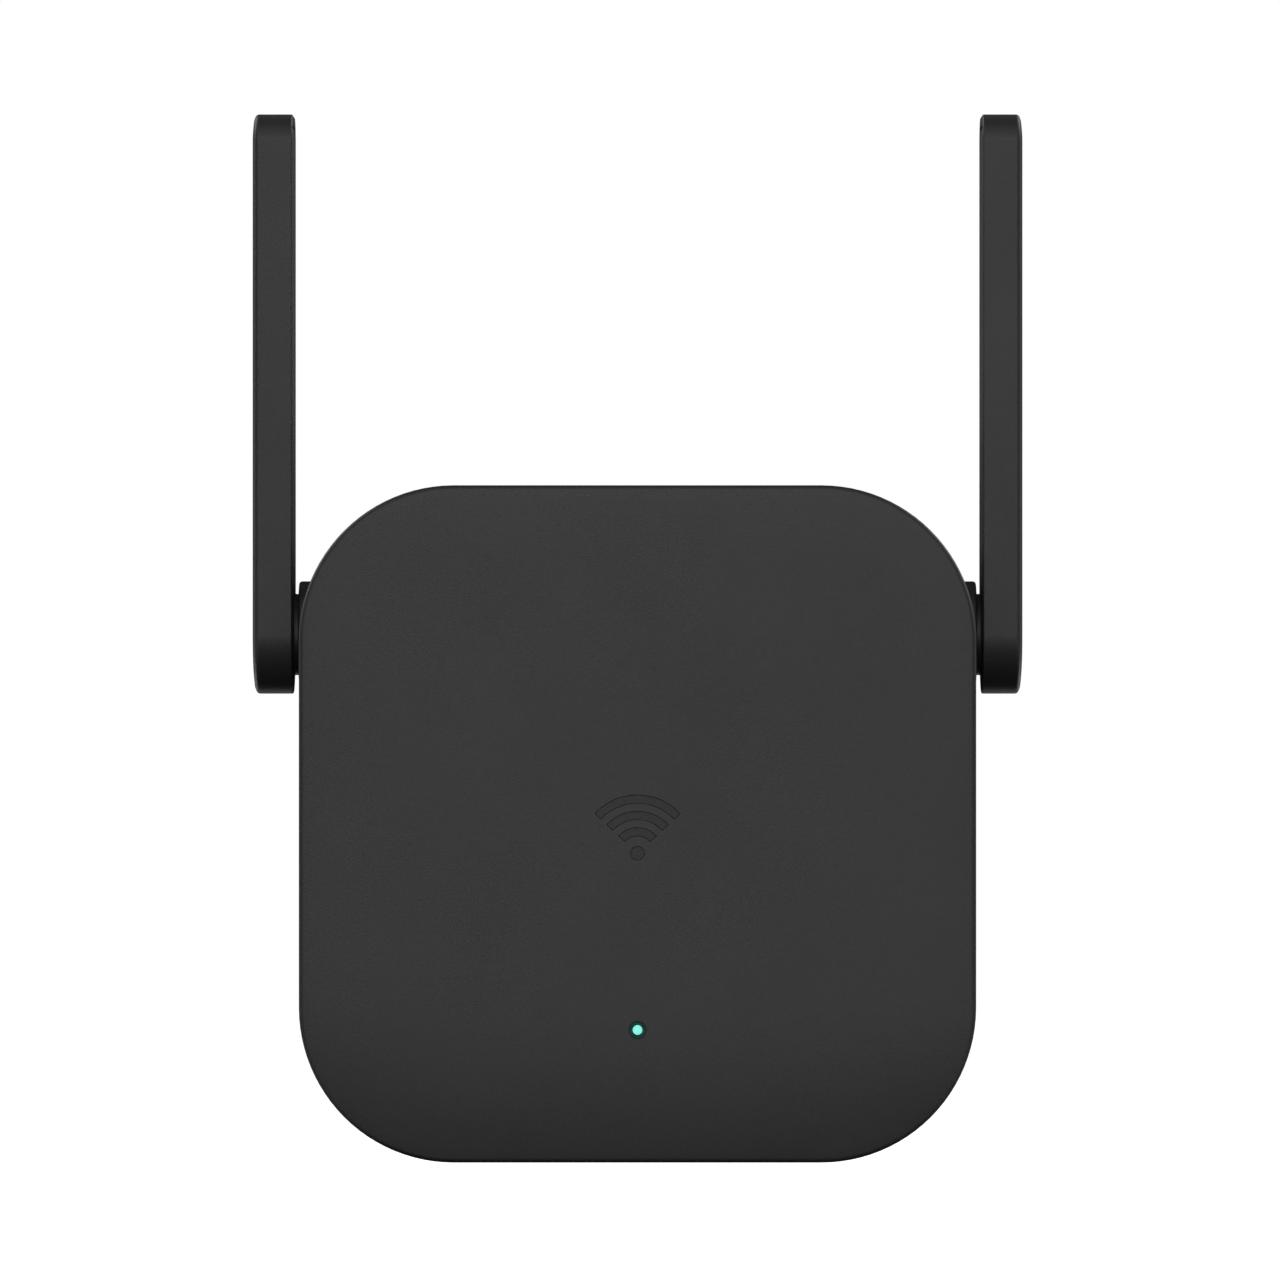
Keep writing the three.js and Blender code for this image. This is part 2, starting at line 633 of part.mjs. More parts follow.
// A chip package with a row of leads along its upper and lower sides.
function chip(wide, tall, high, leads) {
  const body = block([-wide / 2, wide / 2], [-high, 0], [-tall / 2, tall / 2]);
  const pitch = wide / leads;
  const rows = Array.from({ length: leads }, (_, i) => {
    const x = (i - (leads - 1) / 2) * pitch;
    const reach = tall / 2 + 0.9;
    return block([x - 0.2, x + 0.2], [-0.45 * high, 0], [-reach, reach]);
  });
  return join(body, ...rows);
}

function plate(halfX, halfZ, high) {
  return block([-halfX, halfX], [-high, 0], [-halfZ, halfZ]);
}

// ---- Power board --------------------------------------------------------------------------------

const powerParts = new THREE.Group();
powerParts.position.y = PSU_PARTS_Y;
extender.add(powerParts);

const CORE = { halfX: 8.25, halfY: 7, halfZ: 2.5, legHalf: 2, windowOut: 5.5, windowHalf: 4.9 };
const TRANSFORMER_AT = [9, -7.4, 5];

// Two E-shaped ferrite halves glued into one core with two windows.
function transformerCore() {
  const { halfX, halfY, halfZ, legHalf, windowOut, windowHalf } = CORE;
  const ring = block([-halfX, halfX], [-halfY, halfY], [-halfZ, halfZ]);
  const window = block(
    [legHalf, windowOut],
    [-windowHalf, windowHalf],
    [-halfZ - OVERCUT, halfZ + OVERCUT],
  );
  return ring.subtract(bothSides(window));
}

// The bobbin and its taped winding, round the core's middle leg.
function transformerWinding() {
  const half = CORE.windowHalf - GAP;
  const wrap = prism(roundedRect(2 * (CORE.windowOut - GAP), 12, 1.5), "y", -half, half);
  const legX = CORE.legHalf + GAP;
  const legZ = CORE.halfZ + GAP;
  return wrap.subtract(block([-legX, legX], [-half - OVERCUT, half + OVERCUT], [-legZ, legZ]));
}

// A round can with a rolled groove near its foot and a rounded top.
function canCapacitor(radius, height) {
  return turned([
    [0, -height],
    [radius - 0.5, -height],
    [radius, -height + 0.5],
    [radius, -2],
    [radius - 0.45, -1.5],
    [radius, -1],
    [radius - 0.3, 0],
    [0, 0],
  ], {}, 16);
}

// A drum choke: a wound waist between two flanges.
function filterChoke() {
  const height = 8;
  return turned([
    [0, -height],
    [3.6, -height],
    [3.6, -height + 1.2],
    [2.9, -height + 1.4],
    [2.9, -1.4],
    [3.6, -1.2],
    [3.6, 0],
    [0, 0],
  ], {}, 16);
}

// A barrel laid along X on two bent legs.
function fusibleResistor() {
  const rise = -1.9;
  const barrel = rod("x", -4.5, 4.5, 1.7, { y: rise }, 14);
  const wire = rod("x", -6, 6, 0.35, { y: rise }, 6);
  const legs = [-6, 6].map((x) => rod("y", rise, 0, 0.35, { x }, 6));
  return join(barrel, wire, ...legs);
}

// A ceramic disc on two legs, across the gap between the mains side and the low-voltage side.
function safetyCapacitor() {
  const rise = -5.2;
  const disc = rod("x", -1.7, 1.7, 3.6, { y: rise }, 18);
  const legs = [-2.5, 2.5].map((z) => rod("y", rise, 0, 0.35, { z }, 6));
  return join(disc, ...legs);
}

const LINK_Z = -24;
const LINK_HALF = [5.1, 1.25];
const LINK_PITCH = 2.54;
const LINK_PIN_HALF = 0.32;

// Tall header pins that carry the low voltage from the power board to the radio board.
function boardLink() {
  const [halfX, halfZ] = LINK_HALF;
  const yEnd = MAIN_BACK_PARTS_Y - PSU_PARTS_Y;
  const spacers = [[-3, 0], [yEnd, yEnd + 2.5]].map((yRange) =>
    block([-halfX, halfX], yRange, [-halfZ, halfZ]),
  );
  const pins = [-1.5, -0.5, 0.5, 1.5].map((step) => {
    const x = step * LINK_PITCH;
    const wide = [x - LINK_PIN_HALF, x + LINK_PIN_HALF];
    return block(wide, [yEnd, 0], [-LINK_PIN_HALF, LINK_PIN_HALF]);
  });
  return join(...spacers, ...pins);
}

// A sheet between the two boards, slotted round the header pins.
function insulationBarrier() {
  const [halfX, halfZ] = BARRIER_HALF;
  const yRange = [BARRIER_BACK_Y - BARRIER_THICK, BARRIER_BACK_Y];
  const slotX = LINK_HALF[0] + 1;
  const slotZ = LINK_HALF[1] + 1;
  const slot = block(
    [-slotX, slotX],
    [yRange[0] - OVERCUT, yRange[1] + OVERCUT],
    [LINK_Z - slotZ, LINK_Z + slotZ],
  );
  return prism(roundedRect(2 * halfX, 2 * halfZ, 3), "y", ...yRange).subtract(slot);
}

const powerBoardZ = [-PSU_HALF[1], PSU_HALF[1]];
add(
  "power_board",
  boardSheet(PSU_HALF[0], powerBoardZ, PSU_HOLES, [PSU_FRONT_Y, PSU_BACK_Y]),
  "board",
);
add("insulation_barrier", insulationBarrier(), "barrier");

const POWER_PARTS = [
  ["transformer_core", transformerCore(), "ferrite", TRANSFORMER_AT],
  ["transformer_winding", transformerWinding(), "tape", TRANSFORMER_AT],
  ["bulk_capacitor_1", canCapacitor(4, 12), "sleeve", [-16, 0, 14]],
  ["bulk_capacitor_2", canCapacitor(4, 12), "sleeve", [-16, 0, 4]],
  ["output_capacitor", canCapacitor(4, 11), "sleeve", [14, 0, -14]],
  ["filter_choke", filterChoke(), "ferrite", [-16, 0, -7]],
  ["bridge_rectifier", chip(5, 6.4, 2.6, 2), "chip", [-3, 0, -15.5]],
  ["optocoupler", chip(4.6, 6.5, 3.4, 2), "chip", [5, 0, -9]],
  ["switching_controller", chip(5, 4, 1.6, 4), "chip", [-5, 0, -2]],
  ["fusible_resistor", fusibleResistor(), "resistor", [-15, 0, -19.5]],
  ["safety_capacitor", safetyCapacitor(), "disc", [-2.9, 0, 14]],
  ["board_link_header", boardLink(), "bronze", [0, 0, LINK_Z]],
];
for (const [name, solid, finishName, position] of POWER_PARTS) {
  add(name, solid, finishName, { parent: powerParts, position });
}
corners(PSU_HOLES).forEach(([x, z], i) => {
  add(`power_board_screw_${i + 1}`, screw(), "steel", { position: [x, PSU_FRONT_Y, z] });
});

// ---- Radio board --------------------------------------------------------------------------------

const radioParts = new THREE.Group();
radioParts.position.y = MAIN_FRONT_PARTS_Y;
extender.add(radioParts);

const WIFI_CHIP = { half: 6, high: 1.2, z: 4 };
const SHIELD = { halfX: 13, halfZ: 12, high: 2.4, sheet: 0.4 };
const PAD = { half: 5.5, low: 1.35, high: 0.5 };
const SPREADER = { wide: 34, tall: 30, low: SHIELD.high + GAP, high: 1.2 };

// A pressed tin can, open towards the board.
function shieldCan() {
  const { halfX, halfZ, high, sheet } = SHIELD;
  const innerX = halfX - sheet;
  const innerZ = halfZ - sheet;
  const room = block([-innerX, innerX], [-high + sheet, OVERCUT], [-innerZ, innerZ]);
  return plate(halfX, halfZ, high).subtract(room);
}

function coaxSocket() {
  const ring = rod("y", 0, 1.6, 1.5, {}, 14);
  return ring.add(block([-1.6, 1.6], [0, 0.5], [-1.6, 1.6]));
}

// The antenna lead inside the housing, from the hinge axis to the socket on the radio board.
function coaxLead() {
  return cable([
    [FLANGE_END_X - GAP, SPLIT_Y, HINGE_Z],
    [29.5, -38.2, 21.95],
    [28.7, -39.8, 21.5],
    [28.4, -42.6, 20.4],
    [28.2, -45.6, 18.8],
    [27.3, -48, 16.6],
    [25.4, -48.9, 14.3],
    [23.7, -48.95, 12.8],
  ], COAX_R, 18);
}

// A right-angle push switch whose button comes out of its lower side.
function resetSwitch() {
  const body = block(
    [RESET_X - SWITCH_HALF_X, RESET_X + SWITCH_HALF_X],
    [MAIN_BACK_PARTS_Y, SWITCH_FRONT_Y],
    SWITCH_Z,
  );
  const boreTop = PLUNGER_HIGH_Z + RESET_TRAVEL + GAP;
  const at = { x: RESET_X, y: RESET_Y };
  return body.subtract(rod("z", SWITCH_Z[0] - OVERCUT, boreTop, PLUNGER_R + GAP, at, 12));
}

const radioBoardZ = [MAIN_LOW_Z, MAIN_HIGH_Z];
add(
  "radio_board",
  boardSheet(MAIN_HALF_X, radioBoardZ, MAIN_HOLES, [MAIN_FRONT_Y, MAIN_BACK_Y]),
  "board",
);
const spreader = prism(
  roundedRect(SPREADER.wide, SPREADER.tall, 2),
  "y",
  -SPREADER.low - SPREADER.high,
  -SPREADER.low,
);
const RADIO_PARTS = [
  ["shield_can", shieldCan(), "tin", [0, 0, WIFI_CHIP.z]],
  ["wifi_chip", plate(WIFI_CHIP.half, WIFI_CHIP.half, WIFI_CHIP.high), "chip", [0, 0, WIFI_CHIP.z]],
  ["thermal_pad", plate(PAD.half, PAD.half, PAD.high), "silicone", [0, -PAD.low, WIFI_CHIP.z]],
  ["heat_spreader", spreader, "aluminium", [0, 0, WIFI_CHIP.z]],
  ["flash_chip", chip(5, 4, 1.6, 4), "chip", [-21, 0, -4]],
  ["status_led", plate(0.8, 0.4, 0.6), "led", [0, 0, LED_Z]],
];
for (const [name, solid, finishName, position] of RADIO_PARTS) {
  add(name, solid, finishName, { parent: radioParts, position });
}
add("reset_switch", resetSwitch(), "tin");
add(
  "reset_plunger",
  rod("z", PLUNGER_LOW_Z, PLUNGER_HIGH_Z, PLUNGER_R, { x: RESET_X, y: RESET_Y }, 12),
  "button",
);
corners(MAIN_HOLES).forEach(([x, z], i) => {
  const position = [x, MAIN_BACK_Y, z];
  add(`radio_board_screw_${i + 1}`, screw(), "steel", { position }).rotation.z = Math.PI;
});
addPair((side) => `coax_socket_${side}`, coaxSocket(), "bronze", {
  position: [22, MAIN_BACK_PARTS_Y, 11],
});
addPair((side) => `coax_lead_${side}`, coaxLead(), "coax");

// ---- Antennas -----------------------------------------------------------------------------------

const BLADE_CROWN = { edge: 1.6, edgeDeep: 0.45, steps: BLADE_STEPS };
const BLADE_ENDS = { steps: BLADE_STEPS };
const FLANGE_R = HUB_R - 0.2;
const OVERLAP = 0.5; // how far the hub's turned parts run into each other

// The outer shell of a blade, open towards the housing, with a ledge for its cover plate.
function antennaShell() {
  const half = [BLADE_IN_X, BLADE_OUT_X + OVERCUT];
  const reach = [SPLIT_Y - 2 * BLADE_HALF, SPLIT_Y + 2 * BLADE_HALF];
  const blade = prism(bladeOutline(0), "x", BLADE_IN_X - 2, BLADE_OUT_X, BLADE_CROWN)
    .intersect(block(half, reach, [0, BLADE_TOP_Z + OVERCUT]));
  const plateRoomEnd = BLADE_IN_X + COVER_PLATE + GAP;
  const plateRoom = prism(
    bladeOutline(BLADE_WALL),
    "x",
    BLADE_IN_X - OVERCUT,
    plateRoomEnd,
    BLADE_ENDS,
  );
  const hollow = prism(
    bladeOutline(BLADE_WALL + PLATE_LEDGE),
    "x",
    BLADE_IN_X,
    BLADE_OUT_X - BLADE_WALL,
    BLADE_ENDS,
  );
  return blade.subtract(plateRoom).subtract(hollow);
}

// The blade's inner plate with the hinge hub, its neck and the flange that keeps it in the housing.
function antennaCover() {
  const plateOutline = bladeOutline(BLADE_WALL + GAP);
  const plateFace = prism(plateOutline, "x", BLADE_IN_X, BLADE_IN_X + COVER_PLATE, BLADE_ENDS);
  const turnedParts = [
    [WEB_OUT_X + GAP, BLADE_IN_X + OVERLAP, HUB_R],
    [NECK_END_X - OVERLAP, WEB_OUT_X + GAP + OVERLAP, NECK_R],
    [FLANGE_END_X, NECK_END_X, FLANGE_R],
  ].map(([low, high, radius]) => rod("x", low, high, radius, HINGE_AXIS, HINGE_SIDES));
  const boreEnd = BLADE_IN_X + COVER_PLATE + OVERCUT;
  const bore = rod("x", FLANGE_END_X - OVERCUT, boreEnd, HUB_BORE_R, HINGE_AXIS, 14);
  return join(plateFace, ...turnedParts).subtract(bore);
}

// A silicone washer between the web and the flange holds the blade wherever it is turned.
function frictionWasher() {
  const low = NECK_END_X + GAP;
  const ring = rod("x", low, WEB_IN_X - GAP, FLANGE_R, HINGE_AXIS, HINGE_SIDES);
  const hole = rod("x", low - OVERCUT, WEB_IN_X, NECK_R + GAP, HINGE_AXIS, HINGE_SIDES);
  return ring.subtract(hole);
}

const RADIATOR_Z = [34, 78];
const RADIATOR_X = [42.7, 43.5];
const RADIATOR_WIDE = 7;

// The antenna proper: a narrow circuit board with its copper pattern.
function radiator() {
  const [low, high] = RADIATOR_Z;
  const outline = roundedRect(RADIATOR_WIDE, high - low, 1, SPLIT_Y, (low + high) / 2);
  return prism(outline, "x", ...RADIATOR_X);
}

// The lead inside the blade, from the radiator round into the hub's bore and along the hinge axis.
function antennaCoax() {
  return cable([
    [43.2, SPLIT_Y, RADIATOR_Z[0] - GAP],
    [43.2, SPLIT_Y, 29],
    [43.1, SPLIT_Y, 25.8],
    [42.5, SPLIT_Y, 23.6],
    [41.3, SPLIT_Y, 22.4],
    [39.6, SPLIT_Y, HINGE_Z + 0.02],
    [36, SPLIT_Y, HINGE_Z],
    [FLANGE_END_X, SPLIT_Y, HINGE_Z],
  ], COAX_R, 18);
}

addPair((side) => `antenna_${side}_shell`, antennaShell(), "antenna");
addPair((side) => `antenna_${side}_cover`, antennaCover(), "antenna");
addPair((side) => `antenna_${side}_washer`, frictionWasher(), "silicone");
addPair((side) => `antenna_${side}_radiator`, radiator(), "board");
addPair((side) => `antenna_${side}_coax`, antennaCoax(), "coax");

export default extender;
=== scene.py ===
import json
import math

import bmesh
import bpy
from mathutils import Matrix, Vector

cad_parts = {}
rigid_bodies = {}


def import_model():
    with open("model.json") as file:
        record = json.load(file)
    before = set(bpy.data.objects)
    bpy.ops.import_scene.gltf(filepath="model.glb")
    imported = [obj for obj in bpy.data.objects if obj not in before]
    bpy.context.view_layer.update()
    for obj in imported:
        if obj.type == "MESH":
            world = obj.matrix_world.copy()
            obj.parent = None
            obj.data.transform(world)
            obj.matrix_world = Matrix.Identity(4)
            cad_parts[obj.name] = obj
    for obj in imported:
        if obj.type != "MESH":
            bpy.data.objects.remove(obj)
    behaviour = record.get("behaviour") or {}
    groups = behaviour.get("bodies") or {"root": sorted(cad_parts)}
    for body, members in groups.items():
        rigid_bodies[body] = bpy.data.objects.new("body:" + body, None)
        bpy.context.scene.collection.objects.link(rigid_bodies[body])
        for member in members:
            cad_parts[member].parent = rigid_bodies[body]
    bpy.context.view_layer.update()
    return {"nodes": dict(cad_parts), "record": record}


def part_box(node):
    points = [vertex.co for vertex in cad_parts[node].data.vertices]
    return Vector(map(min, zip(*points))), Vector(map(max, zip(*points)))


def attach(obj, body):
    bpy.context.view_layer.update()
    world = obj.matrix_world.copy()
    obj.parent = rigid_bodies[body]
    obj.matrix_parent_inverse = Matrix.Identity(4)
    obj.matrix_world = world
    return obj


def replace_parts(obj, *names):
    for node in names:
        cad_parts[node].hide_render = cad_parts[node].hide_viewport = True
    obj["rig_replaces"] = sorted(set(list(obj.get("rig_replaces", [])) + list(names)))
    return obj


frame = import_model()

# The look of a plug-in wifi range extender. Lengths in this file are in millimetres until a mesh is
# made, where they become metres. The front faces -Y, the wall is at +Y and +Z is up.

MM = 0.001
TAU = 2 * math.pi


def box_mm(node):
    low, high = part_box(node)
    return [c / MM for c in low], [c / MM for c in high]


# ---- Sizes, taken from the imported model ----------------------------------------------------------

COVER_LOW, COVER_HIGH = box_mm("front_cover")
SHELL_LOW, SHELL_HIGH = box_mm("antenna_right_shell")
LENS_LOW, LENS_HIGH = box_mm("light_pipe")
BUTTON_LOW, BUTTON_HIGH = box_mm("reset_plunger")
HINGE = next(j for j in frame["record"]["behaviour"]["joints"] if j["name"] == "right_antenna_hinge")

REVEAL = 0.3  # the gap at the parting line
HALF = COVER_HIGH[2]
FRONT_Y = COVER_LOW[1]
COVER_RIM_Y = COVER_HIGH[1]
REAR_RIM_Y = COVER_RIM_Y + REVEAL
REAR_Y = box_mm("rear_housing")[1][1]
PLUG_FRONT_Y = box_mm("plug_base")[0][1]
PIN_FRONT_Y = box_mm("plug_pin_right")[0][1]
HUB_IN_X = box_mm("antenna_right_cover")[0][0]
BOSS_FACE_X = COVER_HIGH[0]
HINGE_Y = HINGE["pos_m"][1] / MM
HINGE_Z = HINGE["pos_m"][2] / MM
LED_Z = (LENS_LOW[2] + LENS_HIGH[2]) / 2
BLADE_IN_X = SHELL_LOW[0]
BLADE_OUT_X = SHELL_HIGH[0]
BLADE_TOP_Z = SHELL_HIGH[2]
BLADE_HALF = (SHELL_HIGH[1] - SHELL_LOW[1]) / 2

CLEARANCE = 0.3  # between a piece and the hole, bore or wall that it fits
OVERCUT = 1  # how far a cutter goes past the face that it opens
ROOT = 0.5  # how far a post or catch runs into its wall
CORNER_R = 18
WALL = 2
BOSS_R = 6.3
HUB_R = 4.8
NECK_R = 3.3
HUB_BORE_R = 1.9
WEB_OUT_X = 36  # the web between the two ends of an antenna's hub
WEB_IN_X = 33.5
BLADE_TIP_R = 3.3

# ---- Mesh tools ----------------------------------------------------------------------------------


def rounded_rect(half_x, half_z, radius, per_corner):
    """Points of a rounded rectangle, anticlockwise."""
    points = []
    for quarter, (sx, sz) in enumerate([(1, 1), (-1, 1), (-1, -1), (1, -1)]):
        for i in range(per_corner + 1):
            a = (quarter + i / per_corner) * math.pi / 2
            points.append((
                sx * (half_x - radius) + radius * math.cos(a),
                sz * (half_z - radius) + radius * math.sin(a),
            ))
    return points


def circle(radius, count, centre):
    return [
        (centre[0] + radius * math.cos(TAU * i / count), centre[1] + radius * math.sin(TAU * i / count))
        for i in range(count)
    ]


def stadium(length, width, centre, upright, per_end=10):
    """A slot with round ends, long along the second axis if upright."""
    radius = width / 2
    reach = length / 2 - radius
    points = []
    for end in (0, 1):
        for i in range(per_end + 1):
            a = math.pi * (end + i / per_end)
            points.append((radius * math.cos(a), (reach if end == 0 else -reach) + radius * math.sin(a)))
    if not upright:
        points = [(-b, a) for a, b in points]
    return [(centre[0] + a, centre[1] + b) for a, b in points]


def set_along(axis, points, depth):
    """Outline points drawn in the other two axes, in XYZ order, at a depth along an axis."""
    if axis == "x":
        return [(depth, a, b) for a, b in points]
    if axis == "y":
        return [(a, depth, b) for a, b in points]
    return [(a, b, depth) for a, b in points]


def loft(rings):
    """A closed mesh through rings of equally many points, with a flat cap on the first and last."""
    bm = bmesh.new()
    rows = [[bm.verts.new(p) for p in ring] for ring in rings]
    count = len(rows[0])
    for low, high in zip(rows, rows[1:]):
        for i in range(count):
            j = (i + 1) % count
            bm.faces.new((low[i], low[j], high[j], high[i]))
    bm.faces.new(rows[0][::-1])
    bm.faces.new(rows[-1])
    bmesh.ops.recalc_face_normals(bm, faces=bm.faces[:])
    return bm


def lathe(axis, profile, centre, count=48):
    """A turned closed mesh round a line along an axis. The profile's [radius, depth] pairs start and
    end on the line."""
    bm = bmesh.new()
    rows = []
    for radius, depth in profile:
        ring = circle(radius, count, centre) if radius > 0 else [tuple(centre)]
        rows.append([bm.verts.new(p) for p in set_along(axis, ring, depth)])
    for low, high in zip(rows, rows[1:]):
        for i in range(count):
            j = (i + 1) % count
            if len(low) == 1 and len(high) == 1:
                continue
            if len(low) == 1:
                bm.faces.new((low[0], high[j], high[i]))
            elif len(high) == 1:
                bm.faces.new((low[i], low[j], high[0]))
            else:
                bm.faces.new((low[i], low[j], high[j], high[i]))
    bmesh.ops.recalc_face_normals(bm, faces=bm.faces[:])
    return bm


def arc_profile(centre, radii, start, end, steps):
    """Points on an arc of an ellipse, angles in degrees."""
    points = []
    for i in range(steps + 1):
        a = math.radians(start + (end - start) * i / steps)
        points.append((centre[0] + radii[0] * math.cos(a), centre[1] + radii[1] * math.sin(a)))
    return points


def box_mesh(x, y, z):
    bm = bmesh.new()
    bmesh.ops.create_cube(bm, size=1)
    for v in bm.verts:
        v.co = [low + (c + 0.5) * (high - low) for c, (low, high) in zip(v.co, (x, y, z))]
    return bm


def temp_object(bm):
    mesh = bpy.data.meshes.new("tool")
    bm.to_mesh(mesh)
    bm.free()
    obj = bpy.data.objects.new("tool", mesh)
    bpy.context.collection.objects.link(obj)
    return obj


def combine(bm, operations):
    """Applies booleans in turn. Each operation is a kind and a list of meshes."""
    base = temp_object(bm)
    for kind, tools in operations:
        for tool in tools:
            other = temp_object(tool)
            step = base.modifiers.new("step", "BOOLEAN")
            step.operation = kind
            step.solver = "MANIFOLD"
            step.object = other
            graph = bpy.context.evaluated_depsgraph_get()
            result = bpy.data.meshes.new_from_object(base.evaluated_get(graph))
            base.modifiers.clear()
            old = base.data
            base.data = result
            bpy.data.meshes.remove(old)
            mesh = other.data
            bpy.data.objects.remove(other)
            bpy.data.meshes.remove(mesh)
    out = bmesh.new()
    out.from_mesh(base.data)
    mesh = base.data
    bpy.data.objects.remove(base)
    bpy.data.meshes.remove(mesh)
    return out


def mirror_x(bm):
    """The same mesh on the other side of the body."""
    out = bm.copy()
    for v in out.verts:
        v.co.x *= -1
    bmesh.ops.reverse_faces(out, faces=out.faces[:])
    return out


def both(bm):
    return [bm, mirror_x(bm)]


def bevelled(bm, width, angle, segments):
    """Rounds every edge sharper than an angle."""
    limit = math.radians(angle)
    sharp = [e for e in bm.edges if len(e.link_faces) == 2 and e.calc_face_angle(0) > limit]
    bmesh.ops.bevel(
        bm, geom=sharp, offset=width, segments=segments, affect="EDGES", profile=0.5,
        clamp_overlap=True, harden_normals=False,
    )
    return bm


MERGE = 1e-4


def piece(name, bm, material, body, replaces, smooth=32):
    """Finishes a mesh as a visible piece that rides on a body."""
    bmesh.ops.remove_doubles(bm, verts=bm.verts[:], dist=MERGE)
    bmesh.ops.dissolve_degenerate(bm, edges=bm.edges[:], dist=MERGE)
    bmesh.ops.recalc_face_normals(bm, faces=bm.faces[:])
    bmesh.ops.scale(bm, vec=(MM, MM, MM), verts=bm.verts[:])
    mesh = bpy.data.meshes.new(name)
    bm.to_mesh(mesh)
    bm.free()
    mesh.shade_smooth()
    mesh.set_sharp_from_angle(angle=math.radians(smooth))
    mesh.materials.append(material)
    obj = bpy.data.objects.new(name, mesh)
    bpy.context.collection.objects.link(obj)
    weigh = obj.modifiers.new("flat_faces_first", "WEIGHTED_NORMAL")
    weigh.keep_sharp = True
    weigh.weight = 90
    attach(obj, body)
    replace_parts(obj, *replaces)
    return obj


# ---- Materials -----------------------------------------------------------------------------------


class Nodes:
    """A short way to write a material's node tree."""

    def __init__(self, name):
        self.material = bpy.data.materials.new(name)
        self.material.use_nodes = True
        self.tree = self.material.node_tree
        self.shader = self.tree.nodes["Principled BSDF"]
        self.place = self.add("ShaderNodeTexCoord").outputs["Object"]

    def add(self, kind, **settings):
        node = self.tree.nodes.new(kind)
        for key, value in settings.items():
            setattr(node, key, value)
        return node

    def link(self, source, target):
        self.tree.links.new(source, target)

    def noise(self, size_mm, detail=3.0, roughness=0.55, stretch=(1, 1, 1)):
        """Noise with features of a real size, stretched along an axis by a factor."""
        mapping = self.add("ShaderNodeMapping")
        mapping.inputs["Scale"].default_value = [1 / s for s in stretch]
        self.link(self.place, mapping.inputs["Vector"])
        node = self.add("ShaderNodeTexNoise")
        node.inputs["Scale"].default_value = 1 / (size_mm * MM)
        node.inputs["Detail"].default_value = detail
        node.inputs["Roughness"].default_value = roughness
        self.link(mapping.outputs["Vector"], node.inputs["Vector"])
        return node.outputs["Fac"]

    def cells(self, size_mm):
        node = self.add("ShaderNodeTexVoronoi", feature="F1")
        node.inputs["Scale"].default_value = 1 / (size_mm * MM)
        self.link(self.place, node.inputs["Vector"])
        return node.outputs["Distance"]

    def ramp(self, source, *stops):
        """A colour ramp. Each stop is a place and a colour or a grey level."""
        node = self.add("ShaderNodeValToRGB")
        while len(node.color_ramp.elements) < len(stops):
            node.color_ramp.elements.new(0.5)
        for element, (at, colour) in zip(node.color_ramp.elements, stops):
            element.position = at
            rgb = colour if isinstance(colour, tuple) else (colour,) * 3
            element.color = (*rgb, 1)
        self.link(source, node.inputs["Fac"])
        return node.outputs["Color"]

    def math(self, kind, a, b, clamp=False):
        node = self.add("ShaderNodeMath", operation=kind, use_clamp=clamp)
        for socket, value in zip(node.inputs, (a, b)):
            if isinstance(value, (int, float)):
                socket.default_value = value
            else:
                self.link(value, socket)
        return node.outputs[0]

    def mix(self, factor, a, b, blend="MIX"):
        node = self.add("ShaderNodeMix", data_type="RGBA", blend_type=blend)
        for socket, value in ((node.inputs[0], factor), (node.inputs[6], a), (node.inputs[7], b)):
            if isinstance(value, (int, float)):
                socket.default_value = value
            elif isinstance(value, tuple):
                socket.default_value = (*value, 1)
            else:
                self.link(value, socket)
        return node.outputs[2]

    def edges(self, radius_mm):
        """About 1 on convex and concave edges, and 0 on flat faces."""
        gain = 8.0
        bevel = self.add("ShaderNodeBevel", samples=4)
        bevel.inputs["Radius"].default_value = radius_mm * MM
        normal = self.add("ShaderNodeNewGeometry").outputs["Normal"]
        dot = self.add("ShaderNodeVectorMath", operation="DOT_PRODUCT")
        self.link(bevel.outputs["Normal"], dot.inputs[0])
        self.link(normal, dot.inputs[1])
        return self.math("MULTIPLY", self.math("SUBTRACT", 1.0, dot.outputs["Value"]), gain, clamp=True)

    def bump(self, height, strength, distance_mm):
        node = self.add("ShaderNodeBump")
        node.inputs["Strength"].default_value = strength
        node.inputs["Distance"].default_value = distance_mm * MM
        self.link(height, node.inputs["Height"])
        return node.outputs["Normal"]

    def finish(self, colour=None, roughness=None, normal=None, **fixed):
        for socket, value in (("Base Color", colour), ("Roughness", roughness), ("Normal", normal)):
            if value is not None:
                self.link(value, self.shader.inputs[socket])
        for key, value in fixed.items():
            self.shader.inputs[key.replace("_", " ")].default_value = value
        return self.material


GRAIN_DEPTH_MM = 0.02


def moulded_plastic(name, dark, light, rough, grain_mm=0.16, grain=0.35, worn=None):
    """Moulded plastic with a fine spark-eroded grain, faint flow mottling and softly polished edges."""
    n = Nodes(name)
    mottle = n.ramp(n.noise(9, detail=4), (0.3, dark), (0.7, light))
    speck = n.ramp(n.noise(0.35, detail=2), (0.3, 0.9), (0.75, 1.12))
    colour = n.mix(1.0, mottle, speck, "MULTIPLY")
    edge = n.edges(0.35)
    patchy = n.math("MULTIPLY", edge, n.ramp(n.noise(2.2), (0.42, 0.1), (0.62, 1.0)))
    if worn:
        colour = n.mix(n.math("MULTIPLY", patchy, 0.3), colour, worn)
    smear = n.ramp(n.noise(16, detail=5, roughness=0.6), (0.35, rough - 0.008), (0.7, rough + 0.01))
    roughness = n.math("SUBTRACT", smear, n.math("MULTIPLY", patchy, 0.02))
    height = n.math("ADD", n.cells(grain_mm), n.noise(grain_mm * 0.7, detail=2))
    return n.finish(colour, roughness, n.bump(height, grain, GRAIN_DEPTH_MM))


